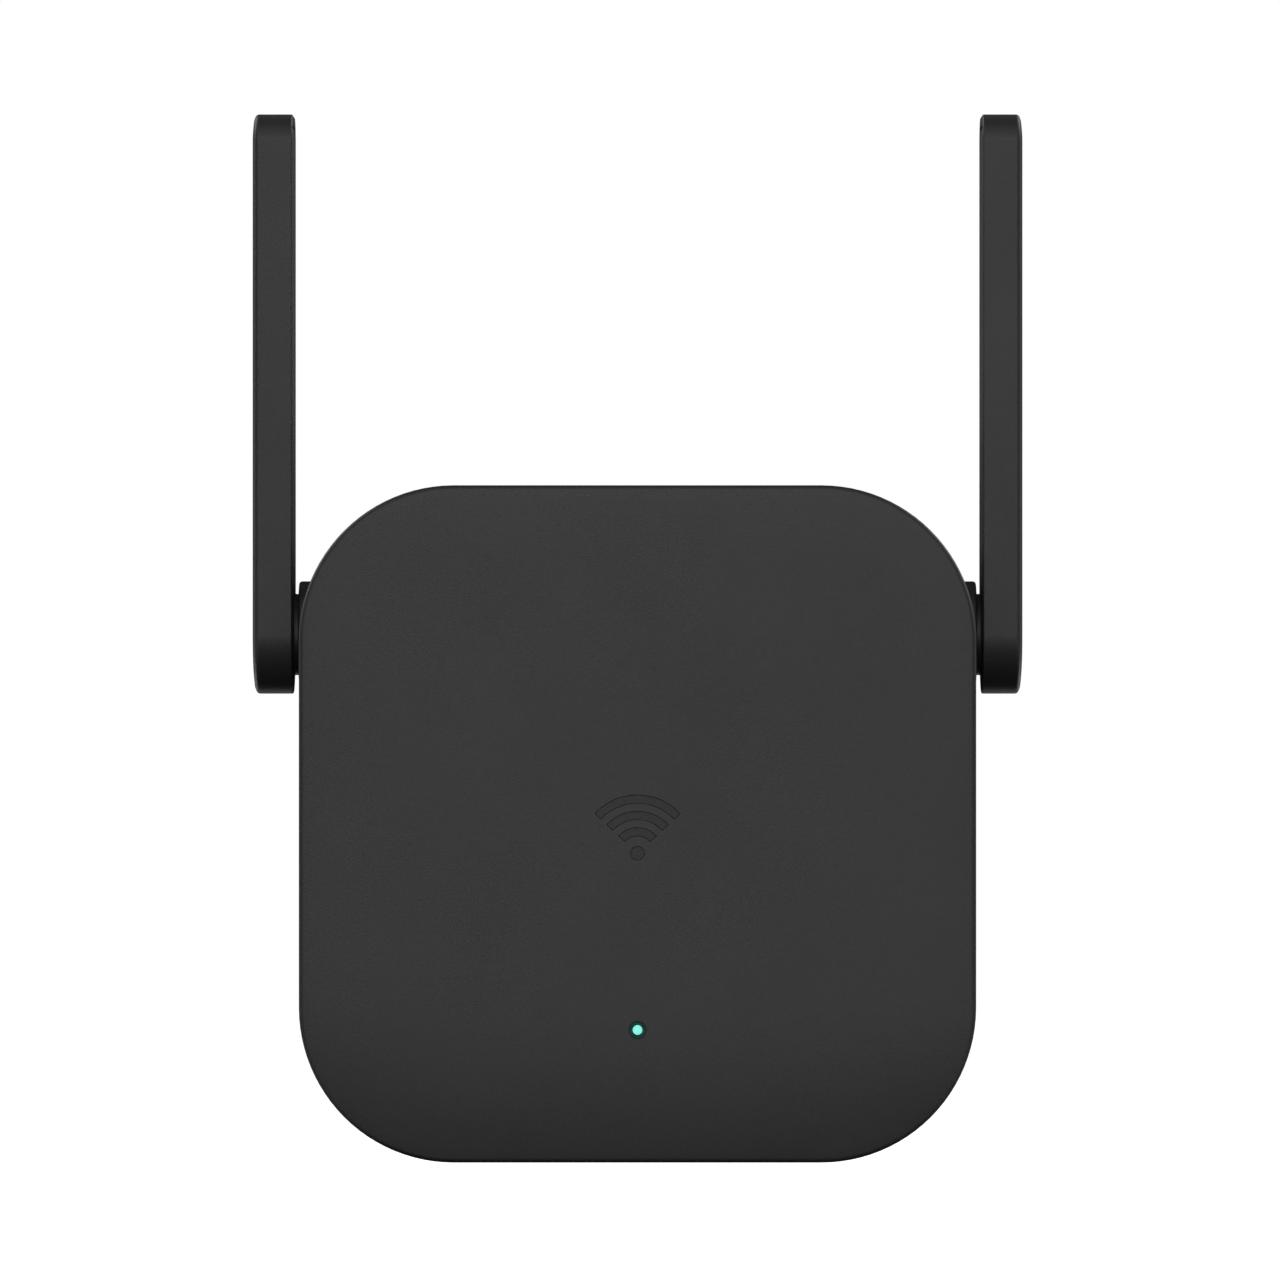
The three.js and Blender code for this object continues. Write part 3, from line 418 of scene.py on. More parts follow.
def turned_metal(name, dark, light, rough):
    """Plated metal with fine turning rings round the Y axis and short wipe marks along it."""
    n = Nodes(name)
    drawn_out = 30
    rings = n.noise(0.12, detail=3, stretch=(drawn_out, 0.6, drawn_out))
    wipes = n.noise(0.5, detail=3, stretch=(1, drawn_out, 1))
    colour = n.mix(1.0, n.ramp(n.noise(3), (0.3, dark), (0.7, light)),
                   n.ramp(wipes, (0.35, 0.93), (0.6, 1.0)), "MULTIPLY")
    edge = n.edges(0.25)
    colour = n.mix(n.math("MULTIPLY", edge, 0.3), colour, (0.95, 0.94, 0.92))
    marks = n.ramp(wipes, (0.35, rough + 0.06), (0.65, rough))
    return n.finish(colour, n.math("SUBTRACT", marks, n.math("MULTIPLY", edge, 0.05)),
                    n.bump(rings, 0.08, GRAIN_DEPTH_MM), Metallic=1.0)


def plain_part(name, dark, light, rough, grain_mm=0.3, grain=0.2, metal=0.0, edge_tone=None):
    """A small component's material: mottled colour, fine grain and worn edges."""
    n = Nodes(name)
    mottle_mm, spread = 3, 0.06
    colour = n.ramp(n.noise(mottle_mm, detail=4), (0.3, dark), (0.7, light))
    colour = n.mix(1.0, colour, n.ramp(n.noise(grain_mm * 1.5), (0.3, 0.88), (0.7, 1.08)), "MULTIPLY")
    edge = n.math("MULTIPLY", n.edges(0.15), n.ramp(n.noise(1.1), (0.4, 0.2), (0.6, 1.0)))
    colour = n.mix(n.math("MULTIPLY", edge, 0.4), colour, edge_tone or light)
    smears = n.noise(mottle_mm * 0.6, detail=4)
    roughness = n.ramp(smears, (0.3, max(rough - spread, 0.05)), (0.7, rough + spread))
    bump = n.bump(n.noise(grain_mm, detail=3), grain, GRAIN_DEPTH_MM)
    return n.finish(colour, roughness, bump, Metallic=metal)


def circuit_board(name, mask, track, across="y"):
    """Solder mask over copper tracks, with the woven glass just showing through."""
    n = Nodes(name)
    brick = n.add("ShaderNodeTexBrick")
    turn = n.add("ShaderNodeMapping")
    turn.inputs["Rotation"].default_value = (math.pi / 2, 0, 0) if across == "y" else (0, math.pi / 2, 0)
    n.link(n.place, turn.inputs["Vector"])
    n.link(turn.outputs["Vector"], brick.inputs["Vector"])
    layout = {"Scale": 1 / (6 * MM), "Mortar Size": 0.035, "Brick Width": 0.9, "Row Height": 0.28}
    for socket, value in layout.items():
        brick.inputs[socket].default_value = value
    lines = brick.outputs["Fac"]
    lighter = tuple(1.35 * c for c in mask)
    colour = n.mix(lines, n.ramp(n.noise(5), (0.3, mask), (0.7, lighter)), track)
    pads = n.ramp(n.cells(3.1), (0.1, 1.0), (0.14, 0.0))
    colour = n.mix(pads, colour, (0.62, 0.55, 0.36))
    colour = n.mix(n.math("MULTIPLY", n.edges(0.2), 0.5), colour, (0.42, 0.38, 0.22))
    roughness = n.ramp(n.noise(1.2), (0.3, 0.28), (0.7, 0.42))
    raised = n.math("ADD", n.math("MULTIPLY", lines, 0.8), n.math("MULTIPLY", n.noise(0.5), 0.3))
    return n.finish(colour, roughness, n.bump(raised, 0.4, 0.03))


def wound_tape(name):
    """Yellow tape in lapped turns over a winding, with the copper's ribs showing through."""
    n = Nodes(name)
    wave = n.add("ShaderNodeTexWave", wave_type="BANDS", bands_direction="Y")
    wave.inputs["Scale"].default_value = 1 / (5.2 * MM)
    wave.inputs["Distortion"].default_value = 0.4
    n.link(n.place, wave.inputs["Vector"])
    ribs = wave.outputs["Fac"]
    colour = n.mix(n.ramp(ribs, (0.1, 0.0), (0.9, 0.6)), (0.62, 0.42, 0.06), (0.83, 0.66, 0.12))
    colour = n.mix(1.0, colour, n.ramp(n.noise(2.5), (0.3, 0.8), (0.7, 1.1)), "MULTIPLY")
    colour = n.mix(n.math("MULTIPLY", n.edges(0.25), 0.4), colour, (0.9, 0.8, 0.4))
    return n.finish(colour, n.ramp(n.noise(1.5), (0.3, 0.22), (0.7, 0.4)), n.bump(ribs, 0.35, 0.05))


def glowing_lens(name):
    """A clear pipe whose visible end glows blue-green, a little unevenly."""
    n = Nodes(name)
    tip_mm, glow_strength = 1.2, 0.92
    split = n.add("ShaderNodeSeparateXYZ")
    n.link(n.place, split.inputs[0])
    tip = n.math("LESS_THAN", split.outputs["Y"], (FRONT_Y + tip_mm) * MM)
    glow = n.mix(n.ramp(n.noise(0.5), (0.3, 0.0), (0.7, 1.0)), (0.2, 0.83, 0.68), (0.24, 0.9, 0.76))
    n.link(glow, n.shader.inputs["Emission Color"])
    n.link(n.math("MULTIPLY", tip, glow_strength), n.shader.inputs["Emission Strength"])
    colour = n.mix(n.noise(0.8), (0.05, 0.2, 0.17), (0.07, 0.26, 0.22))
    return n.finish(colour, n.ramp(n.noise(0.6), (0.3, 0.16), (0.7, 0.3)), n.bump(n.noise(0.2), 0.05, 0.01))


BLACK = (0.0130, 0.0130, 0.0134)
BLACK_LIGHT = (0.0150, 0.0150, 0.0154)
BLACK_WORN = (0.024, 0.024, 0.025)
CASE_ROUGH = 0.53
MASK_GREEN = (0.012, 0.075, 0.035)
M = {
    "housing": moulded_plastic("housing_plastic", BLACK, BLACK_LIGHT, CASE_ROUGH, worn=BLACK_WORN),
    "antenna": moulded_plastic("antenna_plastic", BLACK, BLACK_LIGHT, CASE_ROUGH, worn=BLACK_WORN),
    "mark": moulded_plastic("engraved_mark", (0.009, 0.009, 0.0093), (0.011, 0.011, 0.0113), 0.56, 0.1),
    # Near-black painted shade for the lens's countersink, standing in for the shade in that recess.
    "sink_painted_shade": moulded_plastic("led_sink_painted_shade", (0.0025, 0.0025, 0.0026), (0.0035, 0.0035, 0.0036), 0.7),
    "plug": moulded_plastic(
        "plug_plastic", (0.016, 0.016, 0.017), (0.021, 0.021, 0.022), 0.42, 0.2, 0.25, (0.05, 0.05, 0.052)
    ),
    "lens": glowing_lens("light_pipe_plastic"),
    "nickel": turned_metal("nickel_plate", (0.62, 0.6, 0.56), (0.76, 0.74, 0.7), 0.2),
    "bronze": plain_part("spring_bronze", (0.5, 0.3, 0.12), (0.68, 0.45, 0.2), 0.3, metal=1.0),
    "board": circuit_board("solder_mask_y", MASK_GREEN, (0.03, 0.15, 0.06)),
    "antenna_board": circuit_board("solder_mask_x", MASK_GREEN, (0.45, 0.3, 0.14), "x"),
    "chip": plain_part("chip_epoxy", (0.011, 0.011, 0.012), (0.018, 0.018, 0.019), 0.5,
                       edge_tone=(0.05, 0.05, 0.05)),
    "ferrite": plain_part("ferrite", (0.022, 0.02, 0.019), (0.045, 0.04, 0.037), 0.55, 0.2, 0.5,
                          edge_tone=(0.09, 0.085, 0.08)),
    "tape": wound_tape("polyester_tape"),
    "sleeve": plain_part("capacitor_sleeve", (0.01, 0.016, 0.05), (0.016, 0.026, 0.075), 0.28,
                         edge_tone=(0.1, 0.12, 0.2)),
    "resistor": plain_part("resistor_coat", (0.2, 0.055, 0.035), (0.3, 0.09, 0.06), 0.5),
    "disc": plain_part("ceramic_disc", (0.02, 0.12, 0.34), (0.03, 0.17, 0.45), 0.3),
    "barrier": plain_part("insulation_sheet", (0.7, 0.68, 0.6), (0.8, 0.78, 0.72), 0.4, 0.5, 0.1),
    "tin": plain_part("tin_plate", (0.5, 0.5, 0.5), (0.66, 0.66, 0.66), 0.32, 0.25, 0.25, metal=1.0),
    "aluminium": plain_part("aluminium", (0.58, 0.59, 0.6), (0.72, 0.73, 0.74), 0.36, 0.2, 0.3, metal=1.0),
    "silicone": plain_part("silicone_rubber", (0.27, 0.28, 0.29), (0.36, 0.37, 0.38), 0.65),
    "steel": plain_part("zinc_steel", (0.36, 0.37, 0.38), (0.52, 0.53, 0.54), 0.28, 0.15, 0.2, metal=1.0),
    "coax": plain_part("cable_jacket", (0.035, 0.035, 0.038), (0.06, 0.06, 0.063), 0.42),
    "led": plain_part("led_package", (0.74, 0.72, 0.6), (0.84, 0.82, 0.74), 0.35),
    "button": plain_part("button_plastic", (0.6, 0.57, 0.49), (0.7, 0.67, 0.6), 0.45),
}

# ---- Camera --------------------------------------------------------------------------------------

CAMERA_PLACE = (0.00029, -1.300, 0.0214)  # in metres, square-on to the front

camera_data = bpy.data.cameras.new("camera")
camera_data.sensor_width = 36
camera_data.lens = 300
camera_data.clip_start = 0.05
camera_data.clip_end = 60
camera = bpy.data.objects.new("camera", camera_data)
camera.location = CAMERA_PLACE
camera.rotation_euler = (math.pi / 2, 0, 0)
bpy.context.collection.objects.link(camera)
bpy.context.scene.camera = camera

# ---- Housing -------------------------------------------------------------------------------------

CORNER_STEPS = 24


def body_ring(inset, y):
    return set_along("y", rounded_rect(HALF - inset, HALF - inset, CORNER_R - inset, CORNER_STEPS), y)


def body_loft(profile):
    return loft([body_ring(inset, y) for inset, y in profile])


def hinge_lathe(profile, count=64):
    return lathe("x", profile, (HINGE_Y, HINGE_Z), count)


def hinge_boss():
    edge = 0.35
    return hinge_lathe([
        (0, WEB_IN_X), (BOSS_R, WEB_IN_X),
        *arc_profile((BOSS_R - edge, BOSS_FACE_X - edge), (edge, edge), 0, 90, 5),
        (0, BOSS_FACE_X),
    ])


def hinge_bore():
    """A cutter for the neck's bore through the web and the hub's wider bore outside it."""
    mouth, past = 0.25, 2
    neck, hub = NECK_R + CLEARANCE, HUB_R + CLEARANCE
    return hinge_lathe([
        (0, WEB_IN_X - past), (neck, WEB_IN_X - past), (neck, WEB_OUT_X),
        (hub, WEB_OUT_X), (hub, BOSS_FACE_X - mouth),
        (hub + mouth, BOSS_FACE_X), (hub + mouth, BOSS_FACE_X + past), (0, BOSS_FACE_X + past),
    ])


def y_slab(low, high):
    """Everything between two depths."""
    wide = (-60, 60)
    return box_mesh(wide, (low, high), wide)


def y_rod(x, z, low, high, radius, count=32):
    return lathe("y", [(0, low), (radius, low), (radius, high), (0, high)], (x, z), count)


EDGE_R = 0.6  # rounding round the front face
CROWN = 0.16  # how far the face falls towards its edges
CROWN_WIDE = 7.5
CROWN_INSETS = (7.5, 6, 4.5, 3, 2, 1.2)
LED_SINK_R = 1.08
RIM_CHAMFER = 0.18
FLOOR_Y = FRONT_Y + WALL  # the inner face of the front wall
FLOOR_CHAMFER = 0.6
POST_R = 2.8
PILOT_R = 1.1
FRONT_POSTS = [(x, z) for x in (-26, 26) for z in (-26, 26)]
FRONT_POST_END_Y = -51.8
FRONT_PILOT_Y = (-55.6, -50)
CATCH_Y = (-42.4, -41)
CATCH_HIGH = 1
CATCH_X = (-3.5, 3.5)  # on the top and bottom walls
CATCH_Z = (-1.5, 5.5)  # on the side walls
FAR_FRONT_Y = -70  # in front of everything
MARK_DEPTH = 0.14
MARK_ABOVE = 0.5  # how far the mark's cutters stand out of the face
MARK_FOOT = (0, -3.4)
MARK_ARCS = (2.5, 4.4, 6.3)
MARK_BAND = 0.95
MARK_HALF_ANGLE = math.radians(47)


def arc_band(radius, steps=28):
    """A closed cutter for one arc of the engraved pictogram, its walls leaning a little."""
    middle = math.pi / 2
    wider, narrower = 0.05, -0.03
    rings = []
    for grow, y in ((wider, FRONT_Y - MARK_ABOVE), (wider, FRONT_Y), (narrower, FRONT_Y + MARK_DEPTH)):
        outer, inner = [], []
        reach = MARK_HALF_ANGLE + grow / radius
        for i in range(steps + 1):
            a = middle - reach + 2 * reach * i / steps
            for points, r in (
                (outer, radius + MARK_BAND / 2 + grow), (inner, radius - MARK_BAND / 2 - grow),
            ):
                points.append((MARK_FOOT[0] + r * math.cos(a), MARK_FOOT[1] + r * math.sin(a)))
        rings.append(set_along("y", outer + inner[::-1], y))
    return loft(rings)


def mark_cutters():
    """Three arcs over a dot: the general sign for a wireless signal."""
    mouth_r, bottom_r = 0.85, 0.77
    dot = lathe("y", [
        (0, FRONT_Y - MARK_ABOVE), (mouth_r, FRONT_Y - MARK_ABOVE), (mouth_r, FRONT_Y),
        (bottom_r, FRONT_Y + MARK_DEPTH), (0, FRONT_Y + MARK_DEPTH),
    ], MARK_FOOT, 32)
    return [arc_band(r) for r in MARK_ARCS] + [dot]


def led_hole():
    """The hole for the lens, with a countersink round it whose faces are painted near-black as shade."""
    lip_r, lip_deep, hole_r, cone_deep = 1.0, 0.08, 0.72, 0.62
    return lathe("y", [
        (0, FRONT_Y - OVERCUT), (LED_SINK_R, FRONT_Y - OVERCUT), (LED_SINK_R, FRONT_Y),
        (lip_r, FRONT_Y + lip_deep), (hole_r, FRONT_Y + cone_deep), (hole_r, FLOOR_Y + OVERCUT),
        (0, FLOOR_Y + OVERCUT),
    ], (0, LED_Z), 48)


def pinhole():
    """The hole in the bottom wall, in line with the reset button."""
    centre = [(BUTTON_LOW[k] + BUTTON_HIGH[k]) / 2 for k in (0, 1)]
    mouth_r, hole_r, cone_deep, reach = 1.1, 0.8, 0.3, 3
    return lathe("z", [
        (0, -HALF - OVERCUT), (mouth_r, -HALF - OVERCUT), (mouth_r, -HALF), (hole_r, -HALF + cone_deep),
        (hole_r, -HALF + reach), (0, -HALF + reach),
    ], centre, 40)


def front_cover():
    crown = [(inset, FRONT_Y + CROWN * (1 - inset / CROWN_WIDE) ** 2) for inset in CROWN_INSETS]
    shell = body_loft([
        *crown,
        *[(EDGE_R - a, FRONT_Y + CROWN + EDGE_R - b)
          for a, b in arc_profile((0, 0), (EDGE_R, EDGE_R), 90, 0, 10)],
        (0, COVER_RIM_Y - RIM_CHAMFER), (RIM_CHAMFER, COVER_RIM_Y), (WALL, COVER_RIM_Y),
        (WALL, FLOOR_Y + FLOOR_CHAMFER), (WALL + FLOOR_CHAMFER, FLOOR_Y),
    ])
    posts = [y_rod(x, z, FLOOR_Y - ROOT, FRONT_POST_END_Y, POST_R) for x, z in FRONT_POSTS]
    inside = HALF - WALL
    catches = []
    for reach in ((inside - CATCH_HIGH, inside + ROOT), (-inside - ROOT, -inside + CATCH_HIGH)):
        catches.append(box_mesh(CATCH_X, CATCH_Y, reach))
        catches.append(box_mesh(reach, CATCH_Y, CATCH_Z))
    bosses = [combine(b, [("INTERSECT", [y_slab(FAR_FRONT_Y, COVER_RIM_Y)])]) for b in both(hinge_boss())]
    pilots = [y_rod(x, z, *FRONT_PILOT_Y, PILOT_R) for x, z in FRONT_POSTS]
    return combine(shell, [
        ("UNION", posts + catches + bosses),
        ("DIFFERENCE", [led_hole(), pinhole(), *mark_cutters(), *pilots, *both(hinge_bore())]),
    ])


ROUND_IN = 6
ROUND_DEEP = 8
VENT_PITCH = 4.5
VENT_WIDE = 1.6
WALL_VENTS = 9  # in the top wall, and as many in the bottom wall
WALL_VENT_LONG = 5.8
WALL_VENT_Y = -32.3
WALL_VENT_PAST = 2.2
BACK_VENTS = 6  # in the back, on each side of the plug
BACK_VENT_LONG = 8
BACK_VENT_X = 26
TONGUE_IN = (0.3, 1.3)  # its outer and inner faces, from the wall's inner face
TONGUE_HIGH = 2.2
TONGUE_ROOT_Y = -36
ARM_X = (35.9, 37.1)
ARM_ROOT_X = 38.2
ARM_Y = (-44, -36)
ARM_FOOT_Y = (-37.8, -36)
ARM_WINDOW_Y = (-42.7, -40.7)
ARM_WINDOW_HALF = 3.8
ARM_SPANS = ((-5, 5), (-3, 7))  # along the top and bottom walls, and along the side walls
REAR_POSTS = [(x, z) for x in (-20, 20) for z in (-25, 25)]
REAR_POST_END_Y = -27.7
REAR_PILOT_Y = (-29, -24.3)
STAKES = [(x, z) for x in (-16.5, 16.5) for z in (-17, 17)]
BOSS_BACK_Y = -20
PLUG_HOLE_Y = (-24, -19)
BOSS_ROOM_X = (28, 37.3)
INNER_ROOM_X = 29.9


def rear_profile(inset, end_y):
    """The rear rounding, from the straight wall to the flat back."""
    return [
        (inset + ROUND_IN - a, end_y - ROUND_DEEP + b)
        for a, b in arc_profile((0, 0), (ROUND_IN, ROUND_DEEP), 0, 90, 16)
    ]


def slot_cutter(axis, length, width, centre, upright, outer, inner, flare=0.25):
    """A vent slot that opens from inner to outer, its mouth chamfered."""
    sign = 1 if outer > inner else -1
    steps = ((2 * flare, outer + sign * flare), (0, outer - sign * flare), (0, inner))
    return loft([
        set_along(axis, stadium(length + 2 * grow, width + 2 * grow, centre, upright), depth)
        for grow, depth in steps
    ])


def vents():
    cutters = []
    depth = HALF - WALL - WALL_VENT_PAST
    for i in range(WALL_VENTS):
        centre = ((i - (WALL_VENTS - 1) / 2) * VENT_PITCH, WALL_VENT_Y)
        for sign in (1, -1):
            cutters.append(
                slot_cutter("z", WALL_VENT_LONG, VENT_WIDE, centre, True, sign * HALF, sign * depth)
            )
    for i in range(BACK_VENTS):
        z = (i - (BACK_VENTS - 1) / 2) * VENT_PITCH
        for side in (-1, 1):
            centre = (side * BACK_VENT_X, z)
            inner = REAR_Y - WALL - OVERCUT
            cutters.append(slot_cutter("y", BACK_VENT_LONG, VENT_WIDE, centre, False, REAR_Y, inner))
    return cutters


PLUG_R = 18.5
NOTCH_HALF = 2.9
NOTCH_DEEP = 3.4
GROOVE_HALF = 2.6
GROOVE_DEEP = 2


def plug_outline(grow, per_arc=20):
    """The plug's round outline with its earth-clip notches and side grooves."""
    radius = PLUG_R + grow
    notch, groove = NOTCH_HALF - grow, GROOVE_HALF - grow
    notch_floor, groove_floor = PLUG_R - NOTCH_DEEP + grow, PLUG_R - GROOVE_DEEP + grow
    notch_angle, groove_angle = math.asin(notch / radius), math.asin(groove / radius)
    points = []
    for quarter in range(4):
        across = quarter % 2
        start = quarter * math.pi / 2 + (notch_angle if across else groove_angle)
        end = (quarter + 1) * math.pi / 2 - (groove_angle if across else notch_angle)
        for i in range(per_arc + 1):
            a = start + (end - start) * i / per_arc
            points.append((radius * math.cos(a), radius * math.sin(a)))
        points += (
            [(notch, notch_floor), (-notch, notch_floor)],
            [(-groove_floor, groove), (-groove_floor, -groove)],
            [(-notch, -notch_floor), (notch, -notch_floor)],
            [(groove_floor, -groove), (groove_floor, groove)],
        )[quarter]
    return points


def snap_arm(side, span, upright):
    """An arm with a window for a catch, at the top or bottom wall if upright, else at a side wall."""
    near, far = sorted(side * x for x in ARM_X)
    root = sorted((side * ARM_X[0], side * ARM_ROOT_X))

    def bar(across, deep, reach):
        return box_mesh(across, deep, reach) if upright else box_mesh(reach, deep, across)

    middle = sum(span) / 2
    gap = (middle - ARM_WINDOW_HALF, middle + ARM_WINDOW_HALF)
    return combine(bar(span, ARM_Y, (near, far)), [
        ("UNION", [bar(span, ARM_FOOT_Y, root)]),
        ("DIFFERENCE", [bar(gap, ARM_WINDOW_Y, (near - OVERCUT, far + OVERCUT))]),
    ])


def heat_stake(x, z):
    """A stake whose melted head holds the plug's flange."""
    shank_r, head_r, head_y, seat_y, root_y = 1.2, 2.1, -25.8, -24.8, -21
    return lathe("y", [
        (0, head_y), (0.9, head_y + 0.05), (1.6, head_y + 0.3), (head_r, seat_y), (shank_r, seat_y),
        (shank_r, root_y), (0, root_y),
    ], (x, z), 32)


def rear_housing():
    shell = body_loft([
        (WALL, REAR_RIM_Y), (RIM_CHAMFER, REAR_RIM_Y), (0, REAR_RIM_Y + RIM_CHAMFER),
        *rear_profile(0, REAR_Y),
    ])
    past_rim, past_tongue, step = 5, 4, 0.02
    cavity = body_loft([(WALL, REAR_RIM_Y - past_rim), *rear_profile(WALL, REAR_Y - WALL)])
    outer, inner = (WALL + i for i in TONGUE_IN)
    root = 1  # how far the tongue's foot is set in from the outside
    tongue = body_loft([
        (outer, REAR_RIM_Y - TONGUE_HIGH), (outer, REAR_RIM_Y), (root, REAR_RIM_Y + step),
        (root, TONGUE_ROOT_Y),
    ])
    tongue_room = body_loft([(inner, REAR_RIM_Y - past_tongue), (inner, TONGUE_ROOT_Y + OVERCUT)])
    room_r = BOSS_R + CLEARANCE
    low, high = BOSS_ROOM_X
    boss_room = hinge_lathe([(0, low), (room_r, low), (room_r, high), (0, high)])
    ring = combine(tongue, [("DIFFERENCE", [tongue_room, *both(boss_room)])])
    arms = [
        snap_arm(side, span, upright)
        for side in (-1, 1) for span, upright in zip(ARM_SPANS, (True, False))
    ]
    posts = [y_rod(x, z, REAR_POST_END_Y, REAR_Y - WALL / 2, POST_R) for x, z in REAR_POSTS]
    stakes = [heat_stake(x, z) for x, z in STAKES]
    bosses = [combine(b, [("INTERSECT", [y_slab(REAR_RIM_Y, BOSS_BACK_Y)])]) for b in both(hinge_boss())]
    plug_hole = loft([set_along("y", plug_outline(CLEARANCE), y) for y in PLUG_HOLE_Y])
    pilots = [y_rod(x, z, *REAR_PILOT_Y, PILOT_R) for x, z in REAR_POSTS]
    inner_room = hinge_lathe([
        (0, INNER_ROOM_X), (BOSS_R, INNER_ROOM_X), (BOSS_R, WEB_IN_X), (0, WEB_IN_X),
    ])
    return combine(shell, [
        ("DIFFERENCE", [cavity]),
        ("UNION", [ring, *arms, *posts, *stakes, *bosses]),
        ("DIFFERENCE", [plug_hole, *pilots, *vents(), *both(hinge_bore()), *both(inner_room)]),
    ])


def paint(obj, material, inside):
    """Gives another material to the faces whose centre and normal pass a test."""
    obj.data.materials.append(material)
    for face in obj.data.polygons:
        if inside(face.center / MM, face.normal):
            face.material_index = len(obj.data.materials) - 1


# The faces of the countersink round the lens, which get the near-black painted shade.
def in_painted_shade_sink(centre, normal):
    slack, below_face, past_wall = 0.02, 0.002, 0.5
    near = math.hypot(centre.x, centre.z - LED_Z) < LED_SINK_R + slack
    return near and FRONT_Y + below_face < centre.y < FLOOR_Y + past_wall


def on_mark_bottom(centre, normal):
    reach, slack, facing = 8, 0.01, -0.9
    near = math.hypot(centre.x, centre.z) < reach
    return near and abs(centre.y - FRONT_Y - MARK_DEPTH) < slack and normal.y < facing


cover = piece("front_cover_body", front_cover(), M["housing"], "housing", ["front_cover"])
# Painted shade: the countersink round the lens is coloured near-black.
paint(cover, M["sink_painted_shade"], in_painted_shade_sink)
paint(cover, M["mark"], on_mark_bottom)
piece("rear_housing_body", rear_housing(), M["housing"], "housing", ["rear_housing"])

# ---- Light pipe ----------------------------------------------------------------------------------

LENS_R = 0.56
LENS_DOME = ((0, 0.05), (0.2, 0.06), (0.4, 0.12), (0.51, 0.22), (LENS_R, 0.36))
PIPE_FLANGE_R = 2.2
PIPE_FLANGE_Y = (-57.7, -56.9)
PIPE_R = 1.3
PIPE_END_Y = -52.8


def light_pipe():
    front, back = PIPE_FLANGE_Y
    front_edge, edge = 0.15, 0.1
    return lathe("y", [
        *[(r, FRONT_Y + deep) for r, deep in LENS_DOME],
        (LENS_R, front), (PIPE_FLANGE_R - front_edge, front), (PIPE_FLANGE_R, front + front_edge),
        (PIPE_FLANGE_R, back - edge), (PIPE_FLANGE_R - edge, back), (PIPE_R, back),
        (PIPE_R, PIPE_END_Y - 2 * edge), (PIPE_R - edge, PIPE_END_Y), (0, PIPE_END_Y),
    ], (0, LED_Z), 40)


piece("light_pipe_lens", light_pipe(), M["lens"], "housing", ["light_pipe"])

# ---- Mains plug ----------------------------------------------------------------------------------

PIN_X = 9.5
PIN_R = 2.4
PIN_COLLAR_R = 3.2
PIN_COLLAR_Y = (-21.3, -20.3)
PIN_TAIL_R = 1.5
PIN_GROOVE_R = 2.34
PIN_GROOVE_Y = (0.6, 1.0)
PIN_END_Y = 19.0
PIN_NOSE = (1.5, 2.1)  # how far its rounding comes in and how long it is
FLANGE_HALF = (21, 20)
FLANGE_CORNER_R = 3
FLANGE_STEPS = ((0.2, -24.5), (0, -24.3), (0, -22.5), (0.2, -22.3))
PLUG_EDGE = 0.7
PLUG_WALL = 2.2
HOLLOW_Y = (-26, -3)
RIB_Y = (-27, -2)  # of the walls round the notches and grooves, inside the hollow
NOTCH_RIB_HALF = 5.1
NOTCH_RIB_IN = 12.9
GROOVE_RIB_HALF = 4.8
GROOVE_RIB_IN = 14.3
TOWER_R = 4.4  # the thick wall round each pin
TOWER_Y = (-20, -2)
STAKE_HOLE_R = 1.5
STAKE_HOLE_Y = (-25, -22)


def pin_hole(x):
    radius, mouth_r, cone_y, back_y = 2.5, 2.95, -0.45, -21
    return lathe("y", [
        (0, back_y), (radius, back_y), (radius, cone_y), (mouth_r, 0), (mouth_r, OVERCUT), (0, OVERCUT),
    ], (x, 0), 48)


def plug_base():
    body = loft([set_along("y", plug_outline(0), y) for y in (PLUG_FRONT_Y, 0)])
    body = bevelled(body, PLUG_EDGE, angle=30, segments=4)
    half_x, half_z = FLANGE_HALF
    flange = loft([
        set_along("y", rounded_rect(half_x - i, half_z - i, FLANGE_CORNER_R - i, 8), y)
        for i, y in FLANGE_STEPS
    ])
    hollow = y_rod(0, 0, *HOLLOW_Y, PLUG_R - PLUG_WALL, 64)
    ribs = []
    for side in (-1, 1):
        notch = sorted((side * NOTCH_RIB_IN, side * PLUG_R))
        groove = sorted((side * GROOVE_RIB_IN, side * PLUG_R))
        ribs.append(box_mesh((-NOTCH_RIB_HALF, NOTCH_RIB_HALF), RIB_Y, notch))
        ribs.append(box_mesh(groove, RIB_Y, (-GROOVE_RIB_HALF, GROOVE_RIB_HALF)))
        ribs.append(y_rod(side * PIN_X, 0, *TOWER_Y, TOWER_R, 40))
    room = combine(hollow, [("DIFFERENCE", ribs)])
    holes = [pin_hole(side * PIN_X) for side in (-1, 1)]
    stake_holes = [y_rod(x, z, *STAKE_HOLE_Y, STAKE_HOLE_R) for x, z in STAKES]
    return combine(body, [("UNION", [flange]), ("DIFFERENCE", [room, *holes, *stake_holes])])


def plug_pin(x):
    """A pin with its tail, its collar in the base, a fine turned groove and a rounded nose."""
    low, high = PIN_COLLAR_Y
    groove_low, groove_high = PIN_GROOVE_Y
    slope = PIN_R - PIN_GROOVE_R
    edge = 0.15
    nose_in, nose_long = PIN_NOSE
    nose = arc_profile((PIN_R - nose_in, PIN_END_Y - nose_long), (nose_in, nose_long), 0, 90, 12)
    return lathe("y", [
        (0, PIN_FRONT_Y), (PIN_TAIL_R - edge, PIN_FRONT_Y), (PIN_TAIL_R, PIN_FRONT_Y + edge),
        (PIN_TAIL_R, low), (PIN_COLLAR_R, low), (PIN_COLLAR_R, high), (PIN_R, high), (PIN_R, groove_low),
        (PIN_GROOVE_R, groove_low + slope), (PIN_GROOVE_R, groove_high - slope), (PIN_R, groove_high),
        *nose, (0, PIN_END_Y),
    ], (x, 0), 64)


